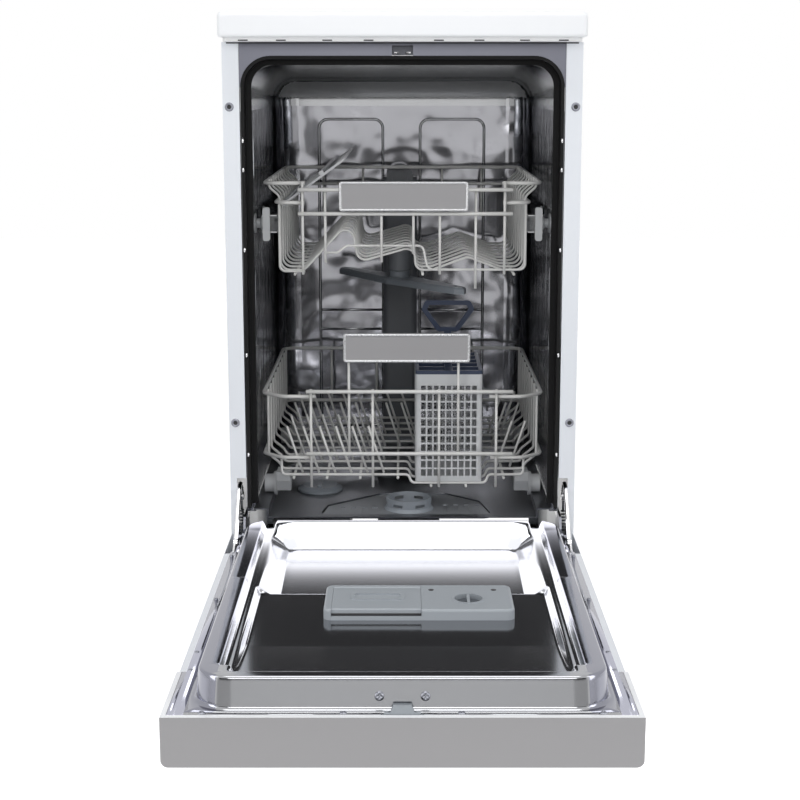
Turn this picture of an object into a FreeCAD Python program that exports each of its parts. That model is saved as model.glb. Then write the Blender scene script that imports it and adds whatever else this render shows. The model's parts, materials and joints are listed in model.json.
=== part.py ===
import FreeCAD, Part
import math
import os

# A slim free-standing dishwasher with its door let down.
# Working frame: X to the right, Y from the cabinet's front plane to the back, Z up from the floor, in mm.
# At export everything moves so that the origin is the bottom centre of the box round the open machine.

V = FreeCAD.Vector
AXIS_X = V(1, 0, 0)
AXIS_Y = V(0, 1, 0)
AXIS_Z = V(0, 0, 1)

# Sizes that drive the rest
HEIGHT = 845.0
CABINET_WIDTH = 445.4
CABINET_DEPTH = 540.0

# Cabinet
WORKTOP_THICK = 30.0
WORKTOP_OVERHANG = 40.0
WORKTOP_SIDE = 1.3
WORKTOP_CORNER = 6.0
UNDERFRAME_THICK = 5.0
UNDERFRAME_INSET = 6.0
UNDERFRAME_RAIL = 30.0
VENT_WIDTH = 11.0
VENT_DEPTH = 4.0
SHEET = 0.8
SEAM = 0.3
FOOT_HEIGHT = 14.0
FOOT_RADIUS = 17.0
FOOT_INSET_X = 32.0
FOOT_INSET_Y = 34.0
BASE_WALL = 2.5
BASE_HEIGHT = 36.0
STRIP_WIDTH = 20.7
STRIP_LIP = 10.0
REAR_FLANGE = 16.0
NOTCH_TOP = 259.0
NOTCH_EDGE = 8.7
REAR_PANEL_THICK = 1.0
REAR_PANEL_LOW = 150.0
PLINTH_SETBACK = 8.0
PLINTH_THICK = 1.2
PLINTH_TOP = 165.0
PLINTH_END_GAP = 16.0
BAND_HEIGHT = 16.0
BAND_FLANGE = 40.0
CATCH_HALF = 15.0
CATCH_WIRE = 2.4

# Tub
TUB_SIDE_GAP = 29.7
TUB_REAR_GAP = 60.0
TUB_TOP_GAP = 61.0
TUB_TOP_FALL = 18.0
TUB_LOW = 206.0
TUB_REAR_RADIUS = 35.0
TUB_TOP_RADIUS = 45.0
MOUTH_STEP = 7.6
MOUTH_DEPTH = 34.0
MOUTH_TOP_STEP = 9.6
MOUTH_RADIUS = 38.0
BEAD_RADIUS = 5.0
BEAD_DEPTH = 2.2
BEAD_LOW = 300.0
BEAD_TOP_GAP = 76.0
BEAD_COUNT = 7
BEAD_FIRST = 80.0
BEAD_REAR_GAP = 88.0
PANEL_WIDTH = 98.0
PANEL_GAP = 57.0
PANEL_LOW = 228.0
PANEL_TOP_GAP = 60.0
PANEL_DEPTH = 2.5
PANEL_RADIUS = 12.0
PANEL_BAND_LOW = 381.0
PANEL_BAND_HIGH = 409.0
PANEL_BAND_DEPTH = 1.2
GASKET_WIDTHS = (4.0, 11.0)
GASKET_DEPTHS = (26.0, 6.0)

# Tub floor, filters and sump
ROLL_LEVEL = 218.2
FLOOR_SHEET = 1.5
LEDGE_WIDTH = 19.0
BASIN_LEVEL = 207.0
FILTER_X = 8.5
FILTER_Y = 52.7
FILTER_RADIUS = 30.0
FILTER_TOP = 221.0
FILTER_PLATE = 2.4
FILTER_PLATE_SINK = 4.0
SUMP_RADIUS = 38.0
SUMP_WALL = 2.5
SUMP_LOW = 118.0
SALT_X = -114.0
SALT_Y = 146.0
SALT_CAP_RADIUS = 31.0
SALT_CAP_TOP = 217.5
SALT_NECK_RADIUS = 25.0

# Door, in its open position
DOOR_SIDE_GAP = 1.3
DOOR_TOP_GAP = 3.0
DOOR_THICK = 49.0
PIVOT_Y = -10.0
PIVOT_Z = 182.0
PIVOT_RADIUS = 5.0
RUNNING_FIT = 0.05
FLANGE_ABOVE_PIVOT = 6.0
DOOR_FOOT = 8.5
CONSOLE_HEIGHT = 120.0
CONSOLE_WALL = 2.5
CONSOLE_RIM = 6.5
CONSOLE_SIDE_RIM = 5.0
CONSOLE_CORNER = 7.0
PANEL_RECESS = 2.0
RETURN_WIDTH = 8.0
GRIP_HALF = 75.0
GRIP_DEEP = 26.0
GRIP_WIDTH = 22.0

# Pressed liner of the door
LINER_INSET = 7.4
LINER_SHEET = 0.8
PLATEAU_MOUTH_GAP = 6.6
PLATEAU_NEAR_GAP = 26.5
PLATEAU_FAR = 54.0
PLATEAU_DRAFT = 8.0
SIDE_DRAFT = 0.25
PLATEAU_RADIUS = 34.0
PLATEAU_EDGE = 5.0
LINER_LEDGE = 20.0
LINER_FAR_LEDGE = 7.0
LINER_NEAR_LEDGE = 16.0
LINER_FLOOR_RISE = 3.0
LINER_TABLE_RISE = 11.0
RAMP_LENGTH = 122.0
RAMP_LIP = 2.5
WELL_DRAFT = 38.0
WELL_RADIUS = 12.0
GROOVE_DEPTH = 11.0
GROOVE_WIDTH = 12.0
GROOVE_NEAR_GAP = 18.0
GROOVE_RADIUS = 5.0

# Spring balance: a bent lever on each door arm pulls a spring that is tied to the hinge bracket's foot
ARM_INSET = 7.9
ARM_THICK = 2.5
ARM_LENGTH = 150.0
ARM_HEIGHT = 16.0
LEVER_ROD = 5.0
LEVER_ROOT_Y = -60.0
LEVER_ROOT_Z = 189.0
LEVER_EYE = 45.0
LEVER_EYE_RADIUS = 6.0
BRACKET_GAP = 4.0
BRACKET_THICK = 3.0
SPRING_INSET = 8.7
SPRING_RADIUS = 5.5
SPRING_FOOT = 60.0
SPRING_HOOK = 12.0

# Dispenser on the door liner
DISPENSER_LEFT = -84.5
DISPENSER_WIDTH = 204.5
DISPENSER_NEAR_GAP = 332.0
DISPENSER_LENGTH = 88.0
DISPENSER_TOP = 211.0
DISPENSER_FLANGE = 4.0
DISPENSER_BOX_DEPTH = 34.0
LID_INSET = 8.5
LID_WIDTH = 96.0
LID_THICK = 3.0
LID_LIP = 4.0
LID_PIN_RADIUS = 2.0
CAP_RADIUS = 15.0
CAP_X = 71.5
CAP_OFFSET = 6.0
CAP_RING = 3.0
SIGHT_RADIUS = 2.6
SIGHT_INSET = 20.0
SIGHT_X = (31.5, 100.5)

# Wire work: the places of the wires are written for the half widths below and stretch with the baskets
WIRE = 3.6
BAR = 5.0
FINE_WIRE = 3.2
RIM_BEND = 18.0
UPPER_PLAN_HALF = 163.0
LOWER_PLAN_HALF = 184.0

# Upper basket
BASKET_FRONT = 45.0
BASKET_REAR_GAP = 34.0
UPPER_RIM_GAP = 131.0
UPPER_LOOP_DROP = 25.0
UPPER_FLOOR_DROP = 113.5
UPPER_RIM_SIDE_GAP = 16.0
UPPER_LOOP_STEP = 14.0
UPPER_WIRES = 11
UPPER_BAR_DROPS = (8.0, 38.5)
UPPER_REAR_DROP = 75.0
HANDLE_WIDTH = 165.0
HANDLE_HEIGHT = 38.0
HANDLE_THICK = 7.0
HANDLE_RIM = 3.5
UPPER_HANDLE_X = 1.5
UPPER_HANDLE_DROP = 16.0

# Rails of the upper basket
RAIL_WALL_GAP = 21.0
RAIL_DROP = 53.0
RAIL_GAP = 20.0
RAIL_SHEET = 1.4
RAIL_OUT = 9.5
RAIL_FRONT = 60.0
RAIL_REAR_GAP = 20.0
CLIP_HEIGHT = 43.0
CLIP_THICK = 8.0
ROLLER_FRONT = 72.0
ROLLER_PITCH = 130.0
ROLLER_CLEAR = 0.3
STUD_RADIUS = 3.0
GLIDE_HALF = 18.0
GLIDE_REAR_GAP = 31.0
GLIDE_PITCH = 150.0

# Spray arms and their feed
SPRAY_X = -4.0
UPPER_SPRAY_DROP = 152.0
UPPER_SPRAY_GAP = 38.0
UPPER_SPRAY_TURN = -56.0
UPPER_SPRAY_OFFSET = -2.5
LOWER_SPRAY_X = -20.0
LOWER_SPRAY_Z = 221.5
LOWER_SPRAY_GAP = 43.0
LOWER_SPRAY_TURN = 18.0
SPRAY_THICK = 9.0
SPRAY_HUB = 22.0
SPRAY_ROOT = 21.0
SPRAY_TIP = 10.0
SPRAY_PIN = 6.0
FEED_HALF = 14.0
FEED_DROP = 127.0
FEED_HEIGHT = 22.0
RISER_HALF = 26.0
RISER_DEPTH = 24.0
RISER_OVER_RIM = 5.0
DOCK_RADIUS = 20.0
DOCK_LENGTH = 7.0
TOP_DOCK_LENGTH = 3.0

# Cup shelf
SHELF_INSET = 10.5
SHELF_DROP = 27.0
SHELF_TILT = 36.0
SHELF_LENGTH = 95.0
SHELF_THICK = 3.0
SHELF_FRONT = 64.0
SHELF_REAR_GAP = 20.0
SHELF_TOOTH = 14.0

# Lower basket
LOWER_RIM_Z = 357.0
LOWER_LOOP_Z = 275.0
LOWER_FLOOR_Z = 251.0
LOWER_SIDE_GAP = 9.0
LOWER_FLOOR_STEP = 24.0
LOWER_CORNER = 26.0
LOWER_WIRES = 10
LOWER_BARS_Z = (365.0, 282.0)
LOWER_FOOT_Z = 236.0
LOWER_HANDLE_X = 5.5
LOWER_HANDLE_Z = 423.0
TINE_HEIGHT = 66.0
TINE_LEAN = 18.0
TINE_PITCH = 21.5
TINE_COUNT = 8
TINE_SIDE_GAP = 28.0
RIGHT_TINE_GAPS = (34.0, 16.0)
WHEEL_INSET = 15.0
WHEEL_HUB_RADIUS = 12.2
WHEEL_HUB_WIDTH = 12.0
WHEEL_FLANGE_RADIUS = 16.5
WHEEL_FLANGE_WIDTH = 4.0
WHEEL_FRONT = 90.0
WHEEL_REAR_GAP = 56.0
AXLE_RADIUS = 4.0

# Cutlery basket
CUTLERY_LEFT = 17.0
CUTLERY_WIDTH = 88.0
CUTLERY_FRONT = 51.5
CUTLERY_DEPTH = 150.0
CUTLERY_LOW = 242.0
CUTLERY_UNDER_SPRAY = 97.0
CUTLERY_WALL = 2.0
CUTLERY_MARGIN = 7.5
CUTLERY_LATTICE = 2.2
CUTLERY_CELL = 8.0
CUTLERY_LID = 5.0
LOOP_RISE = 46.0
LOOP_HEIGHT = 42.0
LOOP_WIDTH = 72.0

# Derived places: cabinet and tub
CABINET_HALF = CABINET_WIDTH / 2
TOP_WIDTH = CABINET_WIDTH + 2 * WORKTOP_SIDE
CABINET_TOP = HEIGHT - WORKTOP_THICK - UNDERFRAME_THICK
STRIP_INNER = CABINET_HALF - STRIP_WIDTH
NOTCH_OUTER = CABINET_HALF - NOTCH_EDGE
SIDE_INNER = CABINET_HALF - SHEET
SIDE_REAR = CABINET_DEPTH - REAR_PANEL_THICK
BAND_LOW = CABINET_TOP - BAND_HEIGHT
BASE_TOP = FOOT_HEIGHT + BASE_HEIGHT
TUB_HALF = CABINET_HALF - TUB_SIDE_GAP
TUB_BACK = CABINET_DEPTH - TUB_REAR_GAP
TUB_TOP_FRONT = HEIGHT - TUB_TOP_GAP
TUB_TOP_REAR = TUB_TOP_FRONT - TUB_TOP_FALL
MOUTH_HALF = TUB_HALF + MOUTH_STEP
MOUTH_TOP = TUB_TOP_FRONT + MOUTH_TOP_STEP
BEAD_HIGH = TUB_TOP_REAR - BEAD_TOP_GAP
BEAD_PITCH = (TUB_BACK - BEAD_FIRST - BEAD_REAR_GAP) / (BEAD_COUNT - 1)
PANEL_HIGH = TUB_TOP_REAR - PANEL_TOP_GAP
LEDGE_INNER = TUB_HALF - LEDGE_WIDTH
GASKET_LOW = ROLL_LEVEL + SEAM

# Derived places: door
DOOR_WIDTH = CABINET_WIDTH - 2 * DOOR_SIDE_GAP
DOOR_HALF = DOOR_WIDTH / 2
DOOR_REACH = CABINET_TOP - DOOR_TOP_GAP - PIVOT_Z - PIVOT_Y
FLANGE_Z = PIVOT_Z + FLANGE_ABOVE_PIVOT
DOOR_OUTER_Z = FLANGE_Z - DOOR_THICK
PANEL_Z = DOOR_OUTER_Z + PANEL_RECESS
DOOR_FOOT_Y = PIVOT_Y + DOOR_FOOT
CONSOLE_HALF = TOP_WIDTH / 2
CONSOLE_END = -DOOR_REACH
CONSOLE_INNER = CONSOLE_END + CONSOLE_HEIGHT
LINER_HALF = DOOR_HALF - LINER_INSET
PLATEAU_HALF = MOUTH_HALF - PLATEAU_MOUTH_GAP
PLATEAU_NEAR = DOOR_REACH - PLATEAU_NEAR_GAP
POCKET_HALF = PLATEAU_HALF - LINER_LEDGE
POCKET_NEAR = -PLATEAU_NEAR + LINER_NEAR_LEDGE
POCKET_FAR = -PLATEAU_FAR - LINER_FAR_LEDGE
WELL_LEVEL = FLANGE_Z + LINER_FLOOR_RISE
TABLE_LEVEL = FLANGE_Z + LINER_TABLE_RISE
DISPENSER_FAR = CONSOLE_END + DISPENSER_NEAR_GAP
ARM_X = DOOR_HALF - ARM_INSET
LEVER_X = ARM_X - LEVER_ROD / 2
BRACKET_INNER = LEVER_X - LEVER_ROD / 2 - BRACKET_GAP
SPRING_X = CABINET_HALF - SPRING_INSET
EYE_Y = PIVOT_Y + LEVER_EYE
EYE_Z = PIVOT_Z + LEVER_EYE

# Derived places: baskets, rails and spray arms
UPPER_FRONT = BASKET_FRONT
UPPER_REAR = TUB_BACK - BASKET_REAR_GAP
UPPER_RIM_Z = TUB_TOP_REAR - UPPER_RIM_GAP
UPPER_LOOP_Z = UPPER_RIM_Z - UPPER_LOOP_DROP
UPPER_FLOOR_Z = UPPER_RIM_Z - UPPER_FLOOR_DROP
UPPER_BARS_Z = [UPPER_RIM_Z - drop for drop in UPPER_BAR_DROPS]
UPPER_RIM_HALF = TUB_HALF - UPPER_RIM_SIDE_GAP
UPPER_LOOP_HALF = UPPER_RIM_HALF - UPPER_LOOP_STEP
UPPER_HANDLE_Z = UPPER_RIM_Z - UPPER_HANDLE_DROP
UPPER_BAR_Y = UPPER_FRONT - WIRE / 2 - BAR / 2
UPPER_LOOP_Y = UPPER_FRONT + WIRE / 2 + BAR / 2
WIRE_POINT = WIRE / 2 / math.cos(math.pi / 6)
FINE_POINT = FINE_WIRE / 2 / math.cos(math.pi / 6)
UPPER_WALL_HALF = UPPER_LOOP_HALF - BAR / 2 - FINE_POINT
RAIL_X = TUB_HALF - RAIL_WALL_GAP
RAIL_Z = UPPER_RIM_Z - RAIL_DROP
RAIL_REAR = TUB_BACK - RAIL_REAR_GAP
RAIL_LOW = RAIL_Z - RAIL_GAP / 2
RAIL_HIGH = RAIL_Z + RAIL_GAP / 2
ROLLER_RADIUS = RAIL_GAP / 2 - ROLLER_CLEAR
UPPER_SPRAY_Y = (UPPER_FRONT + UPPER_REAR) / 2 + UPPER_SPRAY_OFFSET
UPPER_SPRAY_Z = UPPER_RIM_Z - UPPER_SPRAY_DROP
UPPER_SPRAY_RADIUS = TUB_HALF - UPPER_SPRAY_GAP
LOWER_SPRAY_Y = TUB_BACK / 2
LOWER_SPRAY_RADIUS = TUB_HALF - LOWER_SPRAY_GAP
FEED_LOW = UPPER_RIM_Z - FEED_DROP
FEED_HIGH = FEED_LOW + FEED_HEIGHT
RISER_TOP = UPPER_RIM_Z + RISER_OVER_RIM
SHELF_PIVOT_X = -UPPER_LOOP_HALF + SHELF_INSET
SHELF_PIVOT_Z = UPPER_RIM_Z - SHELF_DROP
SHELF_REAR = UPPER_REAR - SHELF_REAR_GAP
LOWER_FRONT = BASKET_FRONT
LOWER_REAR = TUB_BACK - BASKET_REAR_GAP
LOWER_HALF = TUB_HALF - LOWER_SIDE_GAP
LOWER_FLOOR_HALF = LOWER_HALF - LOWER_FLOOR_STEP
LOWER_BAR_Y = LOWER_FRONT - WIRE / 2 - BAR / 2
LOWER_LOOP_Y = LOWER_FRONT + WIRE / 2 + BAR / 2
TINE_FIRST = -LOWER_FLOOR_HALF + TINE_SIDE_GAP
WHEEL_X = LOWER_HALF - WHEEL_INSET
WHEEL_Z = ROLL_LEVEL + ROLLER_CLEAR + WHEEL_HUB_RADIUS
CUTLERY_HIGH = UPPER_SPRAY_Z - CUTLERY_UNDER_SPRAY
CUTLERY_WIRE_Z = CUTLERY_LOW - WIRE_POINT
LOOP_LOW = CUTLERY_HIGH + LOOP_RISE
LOOP_HIGH = LOOP_LOW + LOOP_HEIGHT
ORIGIN_SHIFT = V(0, (DOOR_REACH - CABINET_DEPTH) / 2, 0)


def box(x0, x1, y0, y1, z0, z1):
    return Part.makeBox(x1 - x0, y1 - y0, z1 - z0, V(x0, y0, z0))


def rod(start, end, radius):
    return Part.makeCylinder(radius, (end - start).Length, start, end - start)


def edges_along(shape, axis):
    """Straight edges parallel to an axis."""
    straight = [edge for edge in shape.Edges if isinstance(edge.Curve, Part.Line)]
    return [edge for edge in straight if abs(abs(edge.Curve.Direction.dot(axis)) - 1) < 1e-6]


def rounded_box(x0, x1, y0, y1, z0, z1, radius, axis):
    """Box with its four edges along one axis rounded."""
    block = box(x0, x1, y0, y1, z0, z1)
    return block.makeFillet(radius, edges_along(block, axis))


def prism(points, direction):
    """Flat outline carried along a direction."""
    return Part.Face(Part.makePolygon(points + points[:1])).extrude(direction)


def fuse(shapes):
    """One solid from several that touch or overlap."""
    return shapes[0].multiFuse(shapes[1:]).removeSplitter() if len(shapes) > 1 else shapes[0]


def both_sides(shape):
    """A left piece and its mirror image on the right."""
    return [shape, shape.mirror(V(0, 0, 0), AXIS_X)]


def bend(points, radius, steps):
    """A route whose corners are replaced by short chords of a bend."""
    route = [points[0]]
    for before, corner, after in zip(points, points[1:], points[2:]):
        back = (before - corner).normalize()
        ahead = (after - corner).normalize()
        turn = math.pi - back.getAngle(ahead)
        reach = min(radius * math.tan(turn / 2), 0.45 * min((before - corner).Length, (after - corner).Length))
        for step in range(steps + 1):
            share = step / steps
            near = corner + back * (reach * (1 - share))
            far = corner + ahead * (reach * share)
            route.append(near + (far - near) * share)
    route.append(points[-1])
    return route


def bent_wire(points, diameter, normal, sides=6):
    """Wire along a flat route: a polygon section whose flats face the plane's normal, mitred at each corner."""
    spokes = [2 * math.pi * (k + 0.5) / sides for k in range(sides)]
    reach = diameter / 2 / math.cos(math.pi / sides)
    heads = [(b - a).normalize() for a, b in zip(points, points[1:])]
    rings = []
    for index, point in enumerate(points):
        before = heads[max(index - 1, 0)]
        after = heads[min(index, len(heads) - 1)]
        across = normal.cross(before + after).normalize()
        widen = 1 / max(math.cos(before.getAngle(after) / 2), 0.3)
        ring = [point + across * (reach * widen * math.sin(a)) + normal * (reach * math.cos(a)) for a in spokes]
        rings.append(ring)
    faces = [Part.Face(Part.makePolygon(ring + ring[:1])) for ring in (rings[0], rings[-1])]
    for ring, following in zip(rings, rings[1:]):
        for k in range(sides):
            other = (k + 1) % sides
            corners = [ring[k], ring[other], following[other], following[k]]
            faces.append(Part.Face(Part.makePolygon(corners + corners[:1])))
    solid = Part.Solid(Part.Shell(faces))
    return solid if solid.Volume > 0 else solid.reversed()


def straight_wire(start, end, diameter, normal, sides=6):
    return bent_wire([start, end], diameter, normal, sides)


def save(node, shapes):
    """Write one node: a solid, or a group of solids."""
    solids = shapes if isinstance(shapes, list) else [shapes]
    group = Part.makeCompound(solids) if len(solids) > 1 else solids[0]
    placed = group.copy()
    placed.translate(ORIGIN_SHIFT)
    placed.exportStep("parts/" + node + ".step")
    print(node, len(placed.Solids), round(placed.Volume / 1000, 1), "cm3", placed.isValid())


# Worktop and cabinet

def worktop():
    half = TOP_WIDTH / 2
    top = rounded_box(-half, half, -WORKTOP_OVERHANG, CABINET_DEPTH, HEIGHT - WORKTOP_THICK, HEIGHT,
                      WORKTOP_CORNER, AXIS_Z)
    upper = [edge for edge in top.Edges if edge.BoundBox.ZMin > HEIGHT - 0.01]
    return top.makeFillet(WORKTOP_CORNER / 2, upper)


def worktop_frame():
    """Moulded frame under the worktop, with vent slots in its front rail."""
    low = CABINET_TOP
    half = TOP_WIDTH / 2 - UNDERFRAME_INSET
    front = UNDERFRAME_INSET - WORKTOP_OVERHANG
    rear = CABINET_DEPTH - UNDERFRAME_INSET
    rail = UNDERFRAME_RAIL
    slot_y = front + 2
    frame = rounded_box(-half, half, front, rear, low, low + UNDERFRAME_THICK, WORKTOP_CORNER, AXIS_Z)
    window = box(-half + rail, half - rail, rail, rear - rail, low - 1, low + UNDERFRAME_THICK + 1)
    frame = frame.cut(window)
    for share in (-0.885, -0.674, -0.417, -0.188, 0.202, 0.427, 0.679, 0.894):
        centre = share * half
        slot = box(centre - VENT_WIDTH / 2, centre + VENT_WIDTH / 2, slot_y, slot_y + VENT_DEPTH, low - 1,
                   low + UNDERFRAME_THICK / 2)
        frame = frame.cut(slot)
    return frame


def side_panel():
    """Left skin: one folded sheet with a front strip, a lip behind it and a rear flange."""
    half = CABINET_HALF
    outline = [V(-half, 0, 0), V(-half, SIDE_REAR, 0), V(-half + REAR_FLANGE, SIDE_REAR, 0),
               V(-half + REAR_FLANGE, SIDE_REAR - SHEET, 0), V(-SIDE_INNER, SIDE_REAR - SHEET, 0),
               V(-SIDE_INNER, SHEET, 0), V(-STRIP_INNER - SHEET, SHEET, 0),
               V(-STRIP_INNER - SHEET, STRIP_LIP, 0),
               V(-STRIP_INNER, STRIP_LIP, 0), V(-STRIP_INNER, 0, 0)]
    low = FOOT_HEIGHT + SEAM
    skin = prism(outline, V(0, 0, CABINET_TOP - low))
    skin.translate(V(0, 0, low))
    notch = box(-NOTCH_OUTER, -STRIP_INNER + 1, -1, STRIP_LIP + 1, 0, NOTCH_TOP)
    return skin.cut(notch)


def rear_panel():
    """Back cover with two stiffening pads and a row of vent slots."""
    half = CABINET_HALF
    cover = box(-half, half, SIDE_REAR, CABINET_DEPTH, REAR_PANEL_LOW, CABINET_TOP)
    slot_length = 60.0
    slot_height = 4.0
    for row in range(5):
        low = CABINET_TOP - 60 - 12 * row
        for centre in (-90.0, 90.0):
            slot = box(centre - slot_length / 2, centre + slot_length / 2, SIDE_REAR - 1, CABINET_DEPTH + 1,
                       low, low + slot_height)
            cover = cover.cut(slot)
    return cover


def base_tray():
    """Moulded drip tray that carries the machine, with ribs and a foot boss in each corner."""
    half = SIDE_INNER - SEAM
    low = FOOT_HEIGHT
    wall = BASE_WALL
    front = PLINTH_SETBACK + PLINTH_THICK
    rear = SIDE_REAR - SHEET - SEAM
    tray = box(-half, half, front, rear, low, BASE_TOP)
    hollow = box(-half + wall, half - wall, front + wall, rear - wall, low + wall, BASE_TOP + 1)
    tray = tray.cut(hollow)
    parts = [tray]
    for x in (-half / 3, half / 3):
        parts.append(box(x - wall / 2, x + wall / 2, front + wall, rear - wall, low + wall, low + 4 * wall))
    for x, y in foot_places():
        parts.append(rod(V(x, y, low), V(x, y, BASE_TOP), FOOT_RADIUS * 0.7))
    tray = fuse(parts)
    for x, y in foot_places():
        tray = tray.cut(rod(V(x, y, low - 1), V(x, y, BASE_TOP - wall), STUD_RADIUS + 1 + RUNNING_FIT))
    return tray


def foot_places():
    x = CABINET_HALF - FOOT_INSET_X
    return [(sx * x, y) for sx in (-1, 1) for y in (FOOT_INSET_Y, CABINET_DEPTH - FOOT_INSET_Y)]


def levelling_feet():
    """Threaded stud with a round pad, one in each corner."""
    feet = []
    pad = FOOT_HEIGHT - SEAM
    for x, y in foot_places():
        outline = [V(0, 0, 0), V(FOOT_RADIUS - 2, 0, 0), V(FOOT_RADIUS, 0, 2), V(FOOT_RADIUS, 0, 7),
                   V(STUD_RADIUS + 3, 0, pad), V(STUD_RADIUS + 1, 0, pad),
                   V(STUD_RADIUS + 1, 0, BASE_TOP - BASE_WALL - 2), V(0, 0, BASE_TOP - BASE_WALL - 2)]
        foot = Part.Face(Part.makePolygon(outline + outline[:1])).revolve(V(0, 0, 0), AXIS_Z, 360)
        foot.translate(V(x, y, 0))
        feet.append(foot)
    return feet


def plinth():
    """Kick plate set back under the door, folded back along its top."""
    half = NOTCH_OUTER - PLINTH_END_GAP
    front = PLINTH_SETBACK
    fold = 3.5
    low = BASE_TOP - 20.0
    face = box(-half, half, front, front + PLINTH_THICK, low, PLINTH_TOP)
    top = box(-half, half, front, front + fold, PLINTH_TOP - PLINTH_THICK, PLINTH_TOP)
    return fuse([face, top])


def front_band():
    """Pressed rail over the opening: its face follows the mouth's round corners, notched for the latch."""
    half = STRIP_INNER - SEAM
    face = box(-half, half, 0, SHEET, MOUTH_TOP - MOUTH_RADIUS, CABINET_TOP)
    mouth = rounded_box(-MOUTH_HALF, MOUTH_HALF, -1, SHEET + 1, MOUTH_TOP - 4 * MOUTH_RADIUS, MOUTH_TOP,
                        MOUTH_RADIUS, AXIS_Y)
    shelf = box(-half, half, 0, BAND_FLANGE, CABINET_TOP - SHEET, CABINET_TOP)
    notch = box(-CATCH_HALF + 2, CATCH_HALF - 2, -1, 4, MOUTH_TOP - 1, CABINET_TOP - 4)
    return fuse([face.cut(mouth), shelf]).cut(notch)


def latch_catch():
    """Plate hung from the band with two hooked wires that the door lock grips."""
    height = latch_height()
    plate = box(-CATCH_HALF, CATCH_HALF, 12, 14, MOUTH_TOP + SHEET + SEAM, CABINET_TOP - SHEET)
    hooks = []
    for side in (-1, 1):
        route = [V(side * 5, 12.5, height), V(side * 5, -14, height), V(side * 10, -14, height)]
        hooks.append(bent_wire(bend(route, 3, 2), CATCH_WIRE, AXIS_Z, 8))
    return fuse([plate] + hooks)


def latch_height():
    """Height of the hooks, where the lock's mouth comes to when the door is shut."""
    return PIVOT_Z + PIVOT_Y - lock_mouth_y()


def lock_mouth_y():
    return CONSOLE_END + CONSOLE_RIM + 3.5


# Tub

def tub_form(grow):
    """Solid as large as the tub's hollow, grown by the sheet for its outside."""
    half = TUB_HALF + grow
    back = TUB_BACK + grow
    side = [V(-half, 0, TUB_LOW), V(-half, back, TUB_LOW), V(-half, back, TUB_TOP_REAR + grow),
            V(-half, 0, TUB_TOP_FRONT + grow)]
    room = prism(side, V(2 * half, 0, 0))
    uprights = [edge for edge in edges_along(room, AXIS_Z) if edge.BoundBox.YMin > back - 1]
    room = room.makeFillet(TUB_REAR_RADIUS + grow, uprights)
    top = [edge for edge in room.Edges
           if edge.BoundBox.ZMin > TUB_TOP_REAR - 1 and edge.BoundBox.YMax > 1]
    room = room.makeFillet(TUB_TOP_RADIUS + grow - 12, top)
    mouth = rounded_box(-MOUTH_HALF - grow, MOUTH_HALF + grow, SHEET + SEAM, MOUTH_DEPTH + grow, TUB_LOW - 80,
                        MOUTH_TOP + grow, MOUTH_RADIUS + grow, AXIS_Y)
    mouth = mouth.cut(box(-300, 300, -1, MOUTH_DEPTH + 2, 0, TUB_LOW))
    room = room.cut(box(-300, 300, -1, SHEET + SEAM, 0, HEIGHT))
    forms = [room, mouth]
    for index in range(BEAD_COUNT):
        y = BEAD_FIRST + BEAD_PITCH * index
        for side in (-1, 1):
            centre = side * (TUB_HALF - BEAD_RADIUS + BEAD_DEPTH)
            forms.append(rod(V(centre, y, BEAD_LOW), V(centre, y, BEAD_HIGH), BEAD_RADIUS + grow))
    for side in (-1, 1):
        centre = side * (PANEL_WIDTH + PANEL_GAP) / 2 - 1.5
        left = centre - PANEL_WIDTH / 2 - grow
        right = centre + PANEL_WIDTH / 2 + grow
        field = rounded_box(left, right, TUB_BACK - 20, TUB_BACK + PANEL_DEPTH + grow, PANEL_LOW - grow,
                            PANEL_HIGH + grow, PANEL_RADIUS + grow, AXIS_Y)
        band = box(left - 1, right + 1, TUB_BACK + PANEL_BAND_DEPTH + grow, CABINET_DEPTH,
                   PANEL_BAND_LOW + grow, PANEL_BAND_HIGH - grow)
        forms.append(field.cut(band))
    return fuse(forms)


def tub_pieces():
    """The tub's sheets: two side walls, the back with its round corners, and the arched ceiling."""
    shell = tub_form(SHEET).cut(tub_form(0))
    spring_line = TUB_TOP_REAR - TUB_TOP_RADIUS + 5
    corner = TUB_BACK - TUB_REAR_RADIUS
    low_side = box(-300, 0, -1, corner, 0, spring_line)
    left = shell.common(low_side)
    right = shell.common(low_side.mirror(V(0, 0, 0), AXIS_X))
    back = shell.common(box(-300, 300, corner, CABINET_DEPTH, 0, spring_line))
    ceiling = shell.common(box(-300, 300, -1, CABINET_DEPTH, spring_line, HEIGHT))
    return left, right, back, ceiling


def door_gasket():
    """Rubber profile round the tub's mouth: a thin lining with a broad lip behind it, open at the bottom."""
    outer = MOUTH_HALF
    front = SHEET + SEAM
    rings = []
    for width, deep in zip(GASKET_WIDTHS, GASKET_DEPTHS):
        inner = outer - width
        ring = rounded_box(-outer, outer, front, front + deep, 0, MOUTH_TOP, MOUTH_RADIUS, AXIS_Y)
        hollow = rounded_box(-inner, inner, front - 1, front + deep + 1, -1, MOUTH_TOP - width,
                             MOUTH_RADIUS - width, AXIS_Y)
        rings.append(ring.cut(hollow).cut(box(-outer, outer, front - 1, front + deep + 1, 0, GASKET_LOW)))
        front += deep
    return fuse(rings)


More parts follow.
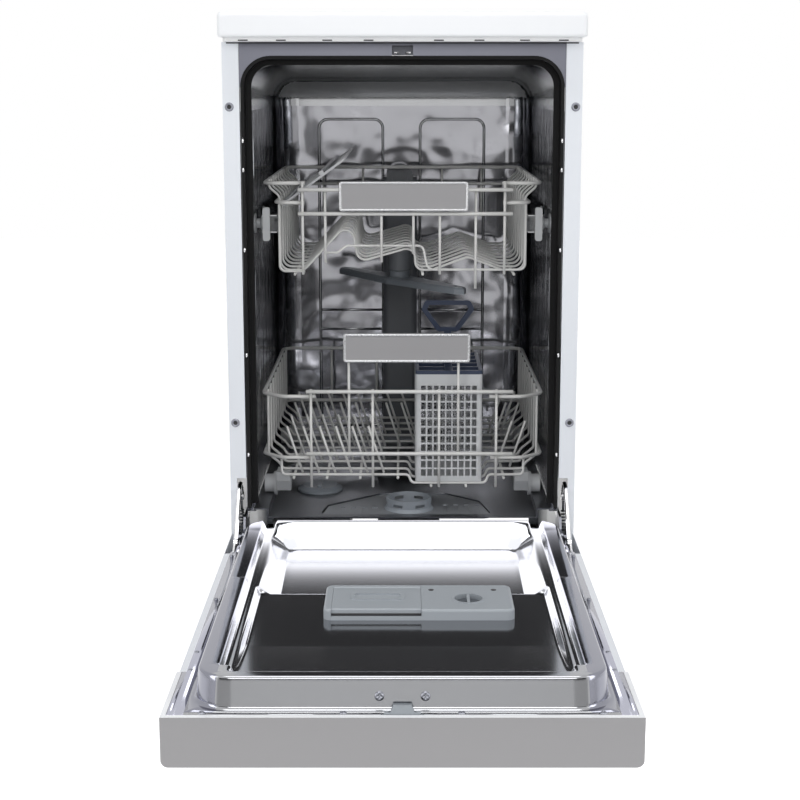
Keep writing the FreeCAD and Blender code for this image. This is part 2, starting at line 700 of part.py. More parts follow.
def floor_form(drop):
    """Block below the floor's top face, with the basin and the filter's recess sunk into it."""
    half = TUB_HALF - SEAM
    block = box(-half, half, SHEET + SEAM, TUB_BACK - SEAM, BASIN_LEVEL - 20, ROLL_LEVEL - drop)
    front = [edge for edge in edges_along(block, AXIS_Z) if edge.BoundBox.YMin > TUB_BACK - 5]
    block = block.makeFillet(TUB_REAR_RADIUS, front)
    basin = rounded_box(-LEDGE_INNER - drop, LEDGE_INNER + drop, -40, TUB_BACK - LEDGE_WIDTH + drop,
                        BASIN_LEVEL - drop, ROLL_LEVEL + 5, LEDGE_WIDTH, AXIS_Z)
    recess = filter_recess(drop)
    return block.cut(basin).cut(recess)


def filter_recess(grow):
    """Kite-shaped sink that the flat filter lies in."""
    outline = [V(-108, 14, 0), V(-100, 62, 0), V(-30, 126, 0), V(60, 126, 0), V(104, 84, 0), V(117, 14, 0)]
    deep = FILTER_PLATE_SINK
    sink = prism(outline, V(0, 0, deep + 1))
    sink = sink.makeFillet(10, edges_along(sink, AXIS_Z))
    sink.translate(V(0, 0, BASIN_LEVEL - deep))
    if grow == 0:
        return sink
    return sink.makeOffsetShape(grow, 0.01, join=2)


def tub_floor():
    """Pressed floor: wheel ledges at the sides, a basin between them, holes for sump and salt neck."""
    sheet = floor_form(0).cut(floor_form(FLOOR_SHEET))
    low = BASIN_LEVEL - 30
    holes = [rod(V(FILTER_X, FILTER_Y, low), V(FILTER_X, FILTER_Y, ROLL_LEVEL), SUMP_RADIUS),
             rod(V(SALT_X, SALT_Y, low), V(SALT_X, SALT_Y, ROLL_LEVEL), SALT_NECK_RADIUS + 2)]
    for hole in holes:
        sheet = sheet.cut(hole)
    return sheet


def flat_filter():
    """Perforated plate in the floor's recess, with a collar hole for the coarse filter."""
    margin = 1.0
    level = BASIN_LEVEL - FILTER_PLATE_SINK
    outline = [V(-106, 15, 0), V(-98.5, 61.4, 0), V(-29.5, 124.8, 0), V(59.5, 124.8, 0), V(103, 83.4, 0),
               V(115.8, 15, 0)]
    plate = prism(outline, V(0, 0, FILTER_PLATE))
    plate = plate.makeFillet(10 - margin, edges_along(plate, AXIS_Z))
    plate.translate(V(0, 0, level))
    top = level + FILTER_PLATE
    hole = rod(V(FILTER_X, FILTER_Y, level - 1), V(FILTER_X, FILTER_Y, top + 1), FILTER_RADIUS + 0.5)
    plate = plate.cut(hole)
    for column in range(4):
        x = -82 + 14 * column
        plate = plate.cut(box(x, x + 6, 26, 56, level + 1.2, top + 1))
        plate = plate.cut(box(-x - 10, -x - 4, 26, 70, level + 1.2, top + 1).translated(V(24, 0, 0)))
    return plate


def coarse_filter():
    """Turn-to-lock basket: a slotted collar over a cup that hangs in the sump."""
    low = SUMP_LOW + 30
    seat = BASIN_LEVEL - FILTER_PLATE_SINK + FILTER_PLATE + 0.3
    wall = 2.2
    outer = FILTER_RADIUS
    profile = [V(0, 0, low), V(outer - 5, 0, low), V(outer - 2, 0, seat), V(outer + 3, 0, seat),
               V(outer, 0, seat + 4), V(outer, 0, FILTER_TOP), V(outer - wall, 0, FILTER_TOP),
               V(outer - wall - 2, 0, seat), V(outer - 5 - wall, 0, low + wall), V(0, 0, low + wall)]
    cup = Part.Face(Part.makePolygon(profile + profile[:1])).revolve(V(0, 0, 0), AXIS_Z, 360)
    slot = box(-7, 7, 0, outer + 5, seat + 6, seat + 10)
    for turn in range(0, 360, 60):
        cutter = slot.copy()
        cutter.rotate(V(0, 0, 0), AXIS_Z, turn + 30)
        cup = cup.cut(cutter)
    cup.translate(V(FILTER_X, FILTER_Y, 0))
    return cup


def sump():
    """Moulded bowl under the filter with two side spigots for the pumps."""
    top = BASIN_LEVEL - FILTER_PLATE_SINK - FLOOR_SHEET
    outer = SUMP_RADIUS + 9
    inner = SUMP_RADIUS
    profile = [V(0, 0, SUMP_LOW), V(inner - 6, 0, SUMP_LOW), V(inner + SUMP_WALL, 0, SUMP_LOW + 22),
               V(inner + SUMP_WALL, 0, top - 4), V(outer, 0, top - 4), V(outer, 0, top), V(inner, 0, top),
               V(inner, 0, SUMP_LOW + 22 + SUMP_WALL), V(inner - 6 - SUMP_WALL, 0, SUMP_LOW + SUMP_WALL),
               V(0, 0, SUMP_LOW + SUMP_WALL)]
    bowl = Part.Face(Part.makePolygon(profile + profile[:1])).revolve(V(0, 0, 0), AXIS_Z, 360)
    reach = inner + 24
    z = SUMP_LOW + 36
    for direction, radius in ((AXIS_Y, 13.0), (AXIS_X, 9.0)):
        pipe = rod(direction * (inner + 1) + V(0, 0, z), direction * reach + V(0, 0, z), radius)
        bore = rod(direction * (inner - 3) + V(0, 0, z), direction * (reach + 1) + V(0, 0, z), radius - 2)
        bowl = fuse([bowl, pipe]).cut(bore)
    bowl.translate(V(FILTER_X, FILTER_Y, 0))
    return bowl


def circulation_pump():
    """Wash pump behind the sump: round volute, finned motor and a rubber-mounted foot."""
    y = FILTER_Y + SUMP_RADIUS + 24.0
    z = SUMP_LOW + 36
    x = FILTER_X
    volute = rod(V(x, y, z), V(x, y + 34, z), 44)
    motor = rod(V(x, y + 34, z), V(x, y + 130, z), 36)
    foot = box(x - 20, x + 20, y + 60, y + 100, FOOT_HEIGHT + BASE_WALL, z - 20)
    outlet = rod(V(x - 30, y + 17, z), V(x - 30, y + 17, z + 44), 11)
    return fuse([volute, motor, foot, outlet])


def drain_pump():
    """Small pump on the sump's side, standing on the tray, with its outlet pointing back."""
    x = FILTER_X + SUMP_RADIUS + 24.0
    z = SUMP_LOW + 36
    y = FILTER_Y
    head = rod(V(x, y, z), V(x + 22, y, z), 24)
    motor = box(x + 22, x + 62, y - 18, y + 18, z - 20, z + 20)
    foot = box(x + 28, x + 56, y - 10, y + 10, FOOT_HEIGHT + BASE_WALL, z - 19)
    outlet = rod(V(x + 11, y + 15, z + 5), V(x + 11, y + 52, z + 5), 8)
    return fuse([head, motor, foot, outlet])


def water_softener():
    """Resin and salt vessel whose threaded neck comes up through the floor."""
    low = FOOT_HEIGHT + BASE_WALL
    high = BASIN_LEVEL - 32
    vessel = rounded_box(SALT_X - 62, SALT_X + 42, SALT_Y - 60, SALT_Y + 90, low + 14, high, 14, AXIS_Z)
    foot = box(SALT_X - 40, SALT_X + 20, SALT_Y - 40, SALT_Y + 70, low, low + 15)
    neck = rod(V(SALT_X, SALT_Y, BASIN_LEVEL - 34), V(SALT_X, SALT_Y, BASIN_LEVEL - SEAM), SALT_NECK_RADIUS)
    collar = rod(V(SALT_X, SALT_Y, BASIN_LEVEL - 12), V(SALT_X, SALT_Y, BASIN_LEVEL - FLOOR_SHEET - SEAM),
                 SALT_NECK_RADIUS + 7)
    mouth = rod(V(SALT_X, SALT_Y, BASIN_LEVEL - 60), V(SALT_X, SALT_Y, BASIN_LEVEL + 1), SALT_NECK_RADIUS - 4)
    return fuse([vessel, foot, neck, collar]).cut(mouth)


def salt_cap():
    """Screw cap with a broad skirt and a crossbar grip."""
    low = BASIN_LEVEL + SEAM
    radius = SALT_CAP_RADIUS
    plug = SALT_NECK_RADIUS - 4 - RUNNING_FIT
    grip = 6.0
    profile = [V(0, 0, low - 14), V(plug, 0, low - 14), V(plug, 0, low), V(radius, 0, low),
               V(radius, 0, low + 3), V(radius - 7, 0, SALT_CAP_TOP - 3), V(0, 0, SALT_CAP_TOP - 3)]
    cap = Part.Face(Part.makePolygon(profile + profile[:1])).revolve(V(0, 0, 0), AXIS_Z, 360)
    reach = radius - 10
    bar = rounded_box(-grip / 2, grip / 2, -reach, reach, SALT_CAP_TOP - 4, SALT_CAP_TOP, 2.5, AXIS_Z)
    cap = fuse([cap, bar])
    cap.translate(V(SALT_X, SALT_Y, 0))
    return cap


def inlet_valve():
    """Water valve on the tray's rear wall with a threaded hose stub and two coils."""
    y = SIDE_REAR - 3.0
    x = -CABINET_HALF + 70.0
    z = BASE_TOP + 40
    stub = rod(V(x, y - 24, z), V(x, y, z), 13.0)
    bore = rod(V(x, y - 10, z), V(x, y + 1, z), 9.0)
    block = box(x - 18, x + 18, y - 50, y - 22, z - 18, z + 22)
    coil = box(x - 14, x + 14, y - 78, y - 50, z - 12, z + 20)
    foot = box(x - 12, x + 12, y - 46, y - 30, FOOT_HEIGHT + BASE_WALL, z - 17)
    return fuse([stub, block, coil, foot]).cut(bore)


def riser_pipe():
    """Channel up the back wall with two forward ports for the two basket heights."""
    front = TUB_BACK - RISER_DEPTH
    back = TUB_BACK - SEAM
    x = SPRAY_X
    crown_z = RISER_TOP - DOCK_RADIUS
    stem = rounded_box(x - RISER_HALF, x + RISER_HALF, front, back, ROLL_LEVEL, crown_z, 9, AXIS_Z)
    crown = rod(V(x, front, crown_z), V(x, back, crown_z), DOCK_RADIUS)
    docks = ((feed_height(), DOCK_LENGTH), (crown_z, TOP_DOCK_LENGTH))
    ports = [rod(V(x, front - reach, z), V(x, front + 2, z), DOCK_RADIUS - 5) for z, reach in docks]
    riser = fuse([stem, crown] + ports)
    for z, reach in docks:
        riser = riser.cut(rod(V(x, front - reach - 1, z), V(x, front + 6, z), DOCK_RADIUS - 8))
    return riser


def feed_height():
    return (FEED_LOW + FEED_HIGH) / 2


# Spray arms

def spray_arm(radius, turn):
    """Two tapered hollow blades on a hub, with a row of jet holes; its hub has a blind socket from below."""
    blades = []
    thick = SPRAY_THICK
    for side in (-1, 1):
        outline = [V(0, -SPRAY_ROOT, 0), V(side * (radius - SPRAY_TIP), -SPRAY_TIP, 0),
                   V(side * radius, 0, 0), V(side * (radius - SPRAY_TIP), SPRAY_TIP, 0), V(0, SPRAY_ROOT, 0)]
        blades.append(prism(outline, V(0, 0, thick)))
    hub = Part.makeCylinder(SPRAY_HUB, thick)
    arm = fuse(blades + [hub])
    crease = [edge for edge in arm.Edges if edge.BoundBox.ZMin > thick - 0.01]
    arm = arm.makeChamfer(2.5, crease)
    for side in (-1, 1):
        for index in range(3):
            x = side * (radius * (0.45 + 0.2 * index))
            jet = Part.makeCylinder(1.8, 3, V(x, side * 3, thick - 2))
            arm = arm.cut(jet)
    arm.rotate(V(0, 0, 0), AXIS_Z, turn)
    return arm


def lower_spray_arm():
    arm = spray_arm(LOWER_SPRAY_RADIUS, LOWER_SPRAY_TURN)
    arm = arm.cut(Part.makeCylinder(SPRAY_PIN + RUNNING_FIT, SPRAY_THICK - 2, V(0, 0, -1)))
    arm.translate(V(LOWER_SPRAY_X, LOWER_SPRAY_Y, LOWER_SPRAY_Z))
    return arm


def lower_spray_post():
    """Fixed post on the tub floor with the pin that the lower arm turns on."""
    x = LOWER_SPRAY_X
    y = LOWER_SPRAY_Y
    profile = [V(0, 0, BASIN_LEVEL), V(24, 0, BASIN_LEVEL), V(15, 0, BASIN_LEVEL + 6),
               V(15, 0, LOWER_SPRAY_Z - SEAM), V(SPRAY_PIN, 0, LOWER_SPRAY_Z - SEAM),
               V(SPRAY_PIN, 0, LOWER_SPRAY_Z + SPRAY_THICK - 4),
               V(0, 0, LOWER_SPRAY_Z + SPRAY_THICK - 4)]
    post = Part.Face(Part.makePolygon(profile + profile[:1])).revolve(V(0, 0, 0), AXIS_Z, 360)
    post.translate(V(x, y, 0))
    return post


def upper_spray_arm():
    arm = spray_arm(UPPER_SPRAY_RADIUS, UPPER_SPRAY_TURN)
    neck = Part.makeCylinder(14, 10, V(0, 0, SPRAY_THICK - 1))
    arm = fuse([arm, neck])
    socket = Part.makeCylinder(SPRAY_PIN + RUNNING_FIT, 14, V(0, 0, SPRAY_THICK - 4))
    arm = arm.cut(socket)
    arm.translate(V(SPRAY_X, UPPER_SPRAY_Y, UPPER_SPRAY_Z))
    return arm


def spray_feed():
    """Duct under the upper basket from its rear port to the arm's hub, with a pin and clips to the wires."""
    x = SPRAY_X
    y = UPPER_SPRAY_Y
    rear = TUB_BACK - RISER_DEPTH - DOCK_LENGTH - 2 * SEAM
    duct = rounded_box(x - FEED_HALF, x + FEED_HALF, y, rear, FEED_LOW, FEED_HIGH, 6, AXIS_Y)
    head = rod(V(x, y, FEED_LOW - 6), V(x, y, FEED_HIGH), 16)
    pin = rod(V(x, y, UPPER_SPRAY_Z + SPRAY_THICK - 3), V(x, y, FEED_LOW), SPRAY_PIN)
    hanger = 2.0
    top = wave_height(x - hanger) - FINE_POINT - SEAM
    hangers = [box(x - hanger, x + hanger, wire - 4, wire + 4, FEED_HIGH - 1, top)
               for wire in upper_wire_places() if wire > y]
    return fuse([duct, head, pin] + hangers[::2])


def wave_height(x):
    """Height of the floor wires above the feed duct."""
    outline = upper_wave()
    (x0, z0), (x1, z1) = [pair for pair in zip(outline, outline[1:]) if pair[0][0] <= x < pair[1][0]][0]
    return z0 + (z1 - z0) * (x - x0) / (x1 - x0)


# Upper basket

def upper_place(x):
    """Place across the upper basket, stretched with its width."""
    return x * UPPER_LOOP_HALF / UPPER_PLAN_HALF


def lower_place(x):
    """Place across the lower basket, stretched with its width."""
    return x * LOWER_HALF / LOWER_PLAN_HALF


def upper_wave():
    """Half-round of the cross wires seen from the front: walls, a tall ridge and two troughs."""
    wall = UPPER_WALL_HALF
    rim = UPPER_RIM_HALF - BAR / 2 - FINE_POINT
    floor = UPPER_FLOOR_Z
    wave = [(-128, 0), (-66, 66), (-58, 10), (16, 31), (17, 0), (38, 0), (85, 17), (130, 0)]
    left = [(-rim, UPPER_RIM_Z + 3), (-rim, UPPER_RIM_Z - 6), (-wall, UPPER_LOOP_Z + 7), (-wall, floor)]
    right = [(-x, z) for x, z in reversed(left)]
    return left + [(upper_place(x), floor + rise) for x, rise in wave] + right


def upper_wire_places():
    """The first cross wire stands behind the front returns, the others clear of the loops' round corners."""
    first = UPPER_LOOP_Y + BAR / 2 + FINE_WIRE / 2
    start = UPPER_LOOP_Y + RIM_BEND + 2
    end = UPPER_REAR - RIM_BEND - 2
    pitch = (end - start) / (UPPER_WIRES - 2)
    return [first] + [start + pitch * index for index in range(UPPER_WIRES - 1)]


def upper_basket_wires():
    """Cross wires that make the sides and the wavy floor; the first is in two plain lengths."""
    places = upper_wire_places()
    routes = [[V(x, y, z) for x, z in upper_wave()] for y in places[1:]]
    wires = [bent_wire(bend(route, 12, 1), FINE_WIRE, AXIS_Y) for route in routes]
    for outline in first_upper_wires():
        route = [V(x, places[0], z) for x, z in outline]
        wires.append(bent_wire(bend(route, 8, 1), FINE_WIRE, AXIS_Y))
    return wires


def first_upper_wires():
    """Front wire: a short length round the left corner and a stepped one from there to the right wall."""
    top = UPPER_LOOP_Z - BAR / 2
    wall = UPPER_WALL_HALF
    floor = UPPER_FLOOR_Z
    left = [(-wall, top), (-wall, floor), (upper_place(-126), floor)]
    steps = [(-101, 24), (-84, 24), (-72, 33), (26, 33), (32, 6), (38, 2)]
    right = [(upper_place(x), floor + rise) for x, rise in steps]
    return left, right + [(wall, floor + 2), (wall, top)]


def rim_loop(half, front, rear, z, left_end, right_end):
    """Level wire round a basket with round corners, open at the front."""
    route = [V(-left_end, front, z), V(-half, front, z), V(-half, rear, z), V(half, rear, z), V(half, front, z),
             V(right_end, front, z)]
    return bent_wire(bend(route, RIM_BEND, 3), BAR, AXIS_Z, 8)


def upright(x, y, low, high):
    return straight_wire(V(x, y, low), V(x, y, high), WIRE, AXIS_Y)


def upper_basket_frame():
    """Rim and second loop with front returns, front bars and uprights, rear uprights and floor runners."""
    front = UPPER_FRONT
    rear = UPPER_REAR
    pieces = [rim_loop(UPPER_RIM_HALF, UPPER_LOOP_Y, rear, UPPER_RIM_Z, upper_place(125), upper_place(128)),
              rim_loop(UPPER_LOOP_HALF, UPPER_LOOP_Y, rear, UPPER_LOOP_Z, upper_place(126), upper_place(129))]
    for z in UPPER_BARS_Z:
        start = V(upper_place(-133.5), UPPER_BAR_Y, z)
        end = V(upper_place(141), UPPER_BAR_Y, z)
        pieces.append(straight_wire(start, end, BAR, AXIS_Z, 8))
    floor = UPPER_FLOOR_Z
    top = UPPER_RIM_Z + BAR / 2
    bar_top = UPPER_BARS_Z[0] + BAR / 2
    for x, rise, high in ((-128, -FINE_WIRE, top), (-99, 11.5, bar_top), (-27, 12.5, bar_top),
                          (14, 23.5, bar_top), (48, -FINE_WIRE, bar_top), (94, -21.5, bar_top),
                          (131, -FINE_WIRE, top)):
        pieces.append(upright(upper_place(x), front, floor + rise, high))
    runner = floor - FINE_POINT - WIRE / 2
    for x in (-139, 26, 144):
        place = upper_place(x)
        pieces.append(straight_wire(V(place, UPPER_LOOP_Y, runner), V(place, rear, runner), WIRE, AXIS_Z))
    for x in (-120, -60, 60, 120):
        pieces.append(upright(upper_place(x), rear + BAR / 2 + WIRE / 2, UPPER_RIM_Z - UPPER_REAR_DROP, top))
    return pieces


def basket_handle(x, z, y_back):
    """Grip plate with a raised rim round a shallow panel."""
    half = HANDLE_WIDTH / 2
    tall = HANDLE_HEIGHT / 2
    front = y_back - HANDLE_THICK
    plate = rounded_box(x - half, x + half, front, y_back, z - tall, z + tall, 4, AXIS_Y)
    panel = box(x - half + HANDLE_RIM, x + half - HANDLE_RIM, front - 1, front + 1.2, z - tall + HANDLE_RIM + 2,
                z + tall - HANDLE_RIM)
    return plate.cut(panel)


def rails():
    """Left and right runner: an H-section whose outer channel takes the wall rollers."""
    t = RAIL_SHEET
    web = box(-RAIL_X - t / 2, -RAIL_X + t / 2, RAIL_FRONT, RAIL_REAR, RAIL_LOW - t, RAIL_HIGH + t)
    lower = box(-RAIL_X - RAIL_OUT, -RAIL_X + RAIL_OUT, RAIL_FRONT, RAIL_REAR, RAIL_LOW - t, RAIL_LOW)
    upper = box(-RAIL_X - RAIL_OUT, -RAIL_X + RAIL_OUT, RAIL_FRONT, RAIL_REAR, RAIL_HIGH, RAIL_HIGH + t)
    return both_sides(fuse([web, lower, upper]))


def rail_end_clips():
    """Snap-in end stop on the front of each runner, tall and narrow with a rounded foot."""
    half = CLIP_HEIGHT / 2
    x = -RAIL_X - 3.5
    front = RAIL_FRONT - CLIP_THICK
    clip = rounded_box(x - 4.5, x + 4.5, front, RAIL_FRONT, RAIL_Z - half, RAIL_Z + half, 3, AXIS_Y)
    return both_sides(clip)


def wall_rollers(y):
    """Spool on each side: the broad flange stands by the tub wall, the tread runs in the runner's channel."""
    flange = 12.5
    wall = TUB_HALF - 2 * SEAM - 0.4
    neck = RAIL_X + RAIL_OUT + 1.0
    inner = RAIL_X + RAIL_SHEET / 2 + 1.0
    bore = STUD_RADIUS + RUNNING_FIT
    profile = [V(inner, bore, 0), V(inner, ROLLER_RADIUS, 0), V(neck, ROLLER_RADIUS, 0), V(neck + 2, 6, 0),
               V(wall - 3, 6, 0), V(wall - 2, flange, 0), V(wall, flange, 0), V(wall, bore, 0)]
    spool = Part.Face(Part.makePolygon(profile + profile[:1])).revolve(V(0, 0, 0), AXIS_X, 360)
    spool.translate(V(0, y, RAIL_Z))
    return both_sides(spool)


def roller_studs(side):
    """Riveted studs on a tub wall that the rollers turn on."""
    inner = side * (RAIL_X + RAIL_SHEET / 2 + 0.6)
    outer = side * TUB_HALF
    places = (ROLLER_FRONT, ROLLER_FRONT + ROLLER_PITCH)
    return [rod(V(inner, y, RAIL_Z), V(outer, y, RAIL_Z), STUD_RADIUS) for y in places]


def basket_glides():
    """Blocks on the basket's sides that slide in the runners' inner channels."""
    inner = UPPER_WALL_HALF + FINE_POINT
    outer = RAIL_X - RAIL_SHEET / 2 - SEAM
    half = RAIL_GAP / 2 - SEAM
    glides = []
    last = UPPER_REAR - GLIDE_REAR_GAP
    for y in (last - GLIDE_PITCH, last):
        block = rounded_box(-outer, -inner, y - GLIDE_HALF, y + GLIDE_HALF, RAIL_Z - half, RAIL_Z + half, 4,
                            AXIS_X)
        glides += both_sides(block)
    return glides


def cup_shelf():
    """Folding shelf on the left wall: a hinge bead, a slotted leaf and a toothed edge."""
    length = SHELF_LENGTH
    front = SHELF_FRONT
    rear = SHELF_REAR
    leaf = box(2, length, front, rear, -SHELF_THICK / 2, SHELF_THICK / 2)
    bead = rod(V(0, front, 0), V(0, rear, 0), 4)
    rib = rounded_box(length * 0.62, length * 0.62 + 6, front, rear, 0, 6, 2, AXIS_Y)
    shelf = fuse([leaf, bead, rib])
    count = int((rear - front) // (2 * SHELF_TOOTH))
    for index in range(count):
        y = front + SHELF_TOOTH * (2 * index + 0.75)
        shelf = shelf.cut(box(length - 12, length + 1, y, y + SHELF_TOOTH, -10, 10))
    slots = 5
    pitch = (rear - front - 12) / slots
    for index in range(slots):
        y = front + 30 + pitch * index
        shelf = shelf.cut(box(16, length * 0.55, y, y + pitch - 26, -10, 10))
    shelf.rotate(V(0, 0, 0), AXIS_Y, -SHELF_TILT)
    shelf.translate(V(SHELF_PIVOT_X, 0, SHELF_PIVOT_Z))
    return shelf


# Lower basket

def lower_profile(dip):
    """Cross wire seen from the front: sides that draw in to the floor, sunk where the cutlery basket stands."""
    side = LOWER_HALF - BAR / 2 - WIRE_POINT
    floor = LOWER_FLOOR_Z
    left = [(-side, LOWER_RIM_Z + 3), (-side, LOWER_LOOP_Z - 4), (-LOWER_FLOOR_HALF - 6, floor + 9),
            (-LOWER_FLOOR_HALF, floor)]
    right = [(-x, z) for x, z in reversed(left)]
    if not dip:
        return left + right
    start = CUTLERY_LEFT - 5.0
    end = CUTLERY_LEFT + CUTLERY_WIDTH + 5.0
    return left + [(start - 4, floor), (start, CUTLERY_WIRE_Z), (end, CUTLERY_WIRE_Z), (end + 4, floor)] + right


def lower_wire_places():
    """The first cross wire stands behind the front returns, the others clear of the loops' corners."""
    first = LOWER_LOOP_Y + BAR / 2 + WIRE / 2
    start = LOWER_LOOP_Y + LOWER_CORNER + 12
    end = LOWER_REAR - RIM_BEND - 2
    pitch = (end - start) / (LOWER_WIRES - 2)
    return [first] + [start + pitch * index for index in range(LOWER_WIRES - 1)]


def under_cutlery(y):
    return y < CUTLERY_FRONT + CUTLERY_DEPTH + WIRE


def lower_basket_wires():
    """Cross wires that make the sides and the floor, with the plate tines welded on them."""
    wires = []
    for index, y in enumerate(lower_wire_places()):
        outline = lower_profile(under_cutlery(y))
        if index == 0:
            top = LOWER_LOOP_Z - BAR / 2
            outline = [(-LOWER_FLOOR_HALF, top)] + outline[3:-3] + [(LOWER_FLOOR_HALF, top)]
        route = [V(x, y, z) for x, z in outline]
        wires.append(bent_wire(bend(route, 6, 1), WIRE, AXIS_Y))
    return wires + lower_basket_tines()


def lower_basket_tines():
    """Rows of plate tines leaning left, and a few leaning right beside the cutlery basket."""
    tines = []
    lean = math.radians(TINE_LEAN)
    base = LOWER_FLOOR_Z + WIRE_POINT + FINE_POINT * math.sin(lean)
    rows = lower_wire_places()
    for y in rows[0::2][:4]:
        for index in range(TINE_COUNT):
            x = TINE_FIRST + TINE_PITCH * index
            if under_cutlery(y) and x > CUTLERY_LEFT - TINE_PITCH:
                continue
            foot = V(x, y, base)
            tip = foot + V(-math.sin(lean), 0, math.cos(lean)) * TINE_HEIGHT
            tines.append(straight_wire(foot, tip, FINE_WIRE, AXIS_Y))
    for y in (rows[1], rows[4], rows[6]):
        for gap in RIGHT_TINE_GAPS:
            foot = V(LOWER_FLOOR_HALF - gap, y, base)
            tip = foot + V(math.sin(lean), 0, math.cos(lean)) * TINE_HEIGHT
            tines.append(straight_wire(foot, tip, FINE_WIRE, AXIS_Y))
    return tines


def lower_basket_frame():
    """Rim and low loop with cut corners, front bars and uprights, rear uprights and floor runners."""
    front = LOWER_FRONT
    rear = LOWER_REAR
    half = LOWER_HALF
    pieces = []
    for z, reach in ((LOWER_RIM_Z, lower_place(114)), (LOWER_LOOP_Z, lower_place(116))):
        y = LOWER_LOOP_Y
        cut = LOWER_CORNER
        route = [V(-reach, y, z), V(-half + cut, y, z), V(-half, y + cut, z), V(-half, rear, z),
                 V(half, rear, z), V(half, y + cut, z), V(half - cut, y, z), V(reach, y, z)]
        pieces.append(bent_wire(bend(route, RIM_BEND, 2), BAR, AXIS_Z, 8))
    for z in LOWER_BARS_Z:
        start = V(lower_place(-126), LOWER_BAR_Y, z)
        end = V(lower_place(144.5), LOWER_BAR_Y, z)
        pieces.append(straight_wire(start, end, BAR, AXIS_Z, 8))
    top = LOWER_BARS_Z[0] + BAR / 2
    grip = LOWER_HANDLE_Z + HANDLE_HEIGHT / 2 - 4
    for x, low, high in ((-120, LOWER_FOOT_Z, top), (-70, LOWER_BARS_Z[1] - 4, grip), (-39, LOWER_FOOT_Z, top),
                         (48, LOWER_FOOT_Z, top), (73, LOWER_BARS_Z[1] - 4, grip), (123, LOWER_FOOT_Z, top)):
        place = x if high == grip else lower_place(x)
        pieces.append(upright(place, front, low, high))
    for x in (-110, -40, 40, 110):
        pieces.append(upright(lower_place(x), rear + BAR / 2 + WIRE / 2, LOWER_LOOP_Z - 3, LOWER_RIM_Z + 3))
    runner = LOWER_FLOOR_Z - WIRE_POINT - WIRE / 2
    for x in (-144, -100, -56, -6, 134):
        place = lower_place(x)
        pieces.append(straight_wire(V(place, LOWER_LOOP_Y, runner), V(place, rear, runner), WIRE, AXIS_Z))
    dip_runner = CUTLERY_WIRE_Z - WIRE_POINT - WIRE / 2
    dip_end = CUTLERY_FRONT + CUTLERY_DEPTH
    for inset in (21, 67):
        place = CUTLERY_LEFT + inset
        start = V(place, LOWER_LOOP_Y, dip_runner)
        pieces.append(straight_wire(start, V(place, dip_end, dip_runner), WIRE, AXIS_Z))
    return pieces


def wheel_places():
    return (WHEEL_FRONT, LOWER_REAR - WHEEL_REAR_GAP)


def basket_wheels(y):
    """Left and right wheel on one line: a tread outside and a larger guide flange inside the ledge."""
    bore = AXLE_RADIUS + RUNNING_FIT
    flange = WHEEL_X + WHEEL_FLANGE_WIDTH
    outer = flange + WHEEL_HUB_WIDTH
    profile = [V(WHEEL_X, bore, 0), V(WHEEL_X, WHEEL_FLANGE_RADIUS, 0), V(flange, WHEEL_FLANGE_RADIUS - 1, 0),
               V(flange, WHEEL_HUB_RADIUS, 0), V(outer, WHEEL_HUB_RADIUS, 0), V(outer, bore, 0)]
    wheel = Part.Face(Part.makePolygon(profile + profile[:1])).revolve(V(0, 0, 0), AXIS_X, 360)
    wheel.translate(V(0, y, WHEEL_Z))
    return both_sides(wheel)


def wheel_brackets():
    """Clips on the basket's lower corners with the stub axles."""
    clips = []
    outer = WHEEL_X - SEAM
    inner = LOWER_FLOOR_HALF - 10.0
    end = WHEEL_X + WHEEL_FLANGE_WIDTH + WHEEL_HUB_WIDTH
    for y in wheel_places():
        outline = [V(outer, y - 16, WHEEL_Z + 6), V(outer, y - 7, WHEEL_Z - 9), V(outer, y + 7, WHEEL_Z - 9),
                   V(outer, y + 16, WHEEL_Z + 6), V(outer, y + 16, LOWER_FLOOR_Z - WIRE_POINT),
                   V(outer, y - 16, LOWER_FLOOR_Z - WIRE_POINT)]
        plate = prism(outline, V(inner - outer, 0, 0))
        axle = rod(V(outer - 1, y, WHEEL_Z), V(end, y, WHEEL_Z), AXLE_RADIUS)
        clips += both_sides(fuse([plate, axle]))
    return clips


def cutlery_basket():
    """Open moulded box with window grids in its walls and a slotted floor."""
    x0 = CUTLERY_LEFT
    x1 = x0 + CUTLERY_WIDTH
    y0 = CUTLERY_FRONT
    y1 = y0 + CUTLERY_DEPTH
    wall = CUTLERY_WALL
    tub = rounded_box(x0, x1, y0, y1, CUTLERY_LOW, CUTLERY_HIGH, 5, AXIS_Z)
    hollow = rounded_box(x0 + wall, x1 - wall, y0 + wall, y1 - wall, CUTLERY_LOW + wall, CUTLERY_HIGH + 1, 3,
                         AXIS_Z)
    tub = tub.cut(hollow)
    bottom = CUTLERY_LOW + CUTLERY_MARGIN
    top = CUTLERY_HIGH - 2 * CUTLERY_MARGIN
    bar = CUTLERY_LATTICE
    cutters = []
    rows = int((top - bottom + bar) // (CUTLERY_CELL + 1.2 * bar))
    tall = (top - bottom - bar * (rows - 1)) / rows
    for low, high, along_x in ((x0 + CUTLERY_MARGIN, x1 - CUTLERY_MARGIN, True),
                               (y0 + CUTLERY_MARGIN, y1 - CUTLERY_MARGIN, False)):
        columns = int((high - low + bar) // CUTLERY_CELL)
        wide = (high - low - bar * (columns - 1)) / columns
        for column in range(columns):
            start = low + column * (wide + bar)
            for row in range(rows):
                z = bottom + row * (tall + bar)
                if along_x:
                    cutters.append(box(start, start + wide, y0 - 1, y1 + 1, z, z + tall))
                else:
                    cutters.append(box(x0 - 1, x1 + 1, start, start + wide, z, z + tall))
    return tub.cut(Part.makeCompound(cutters))


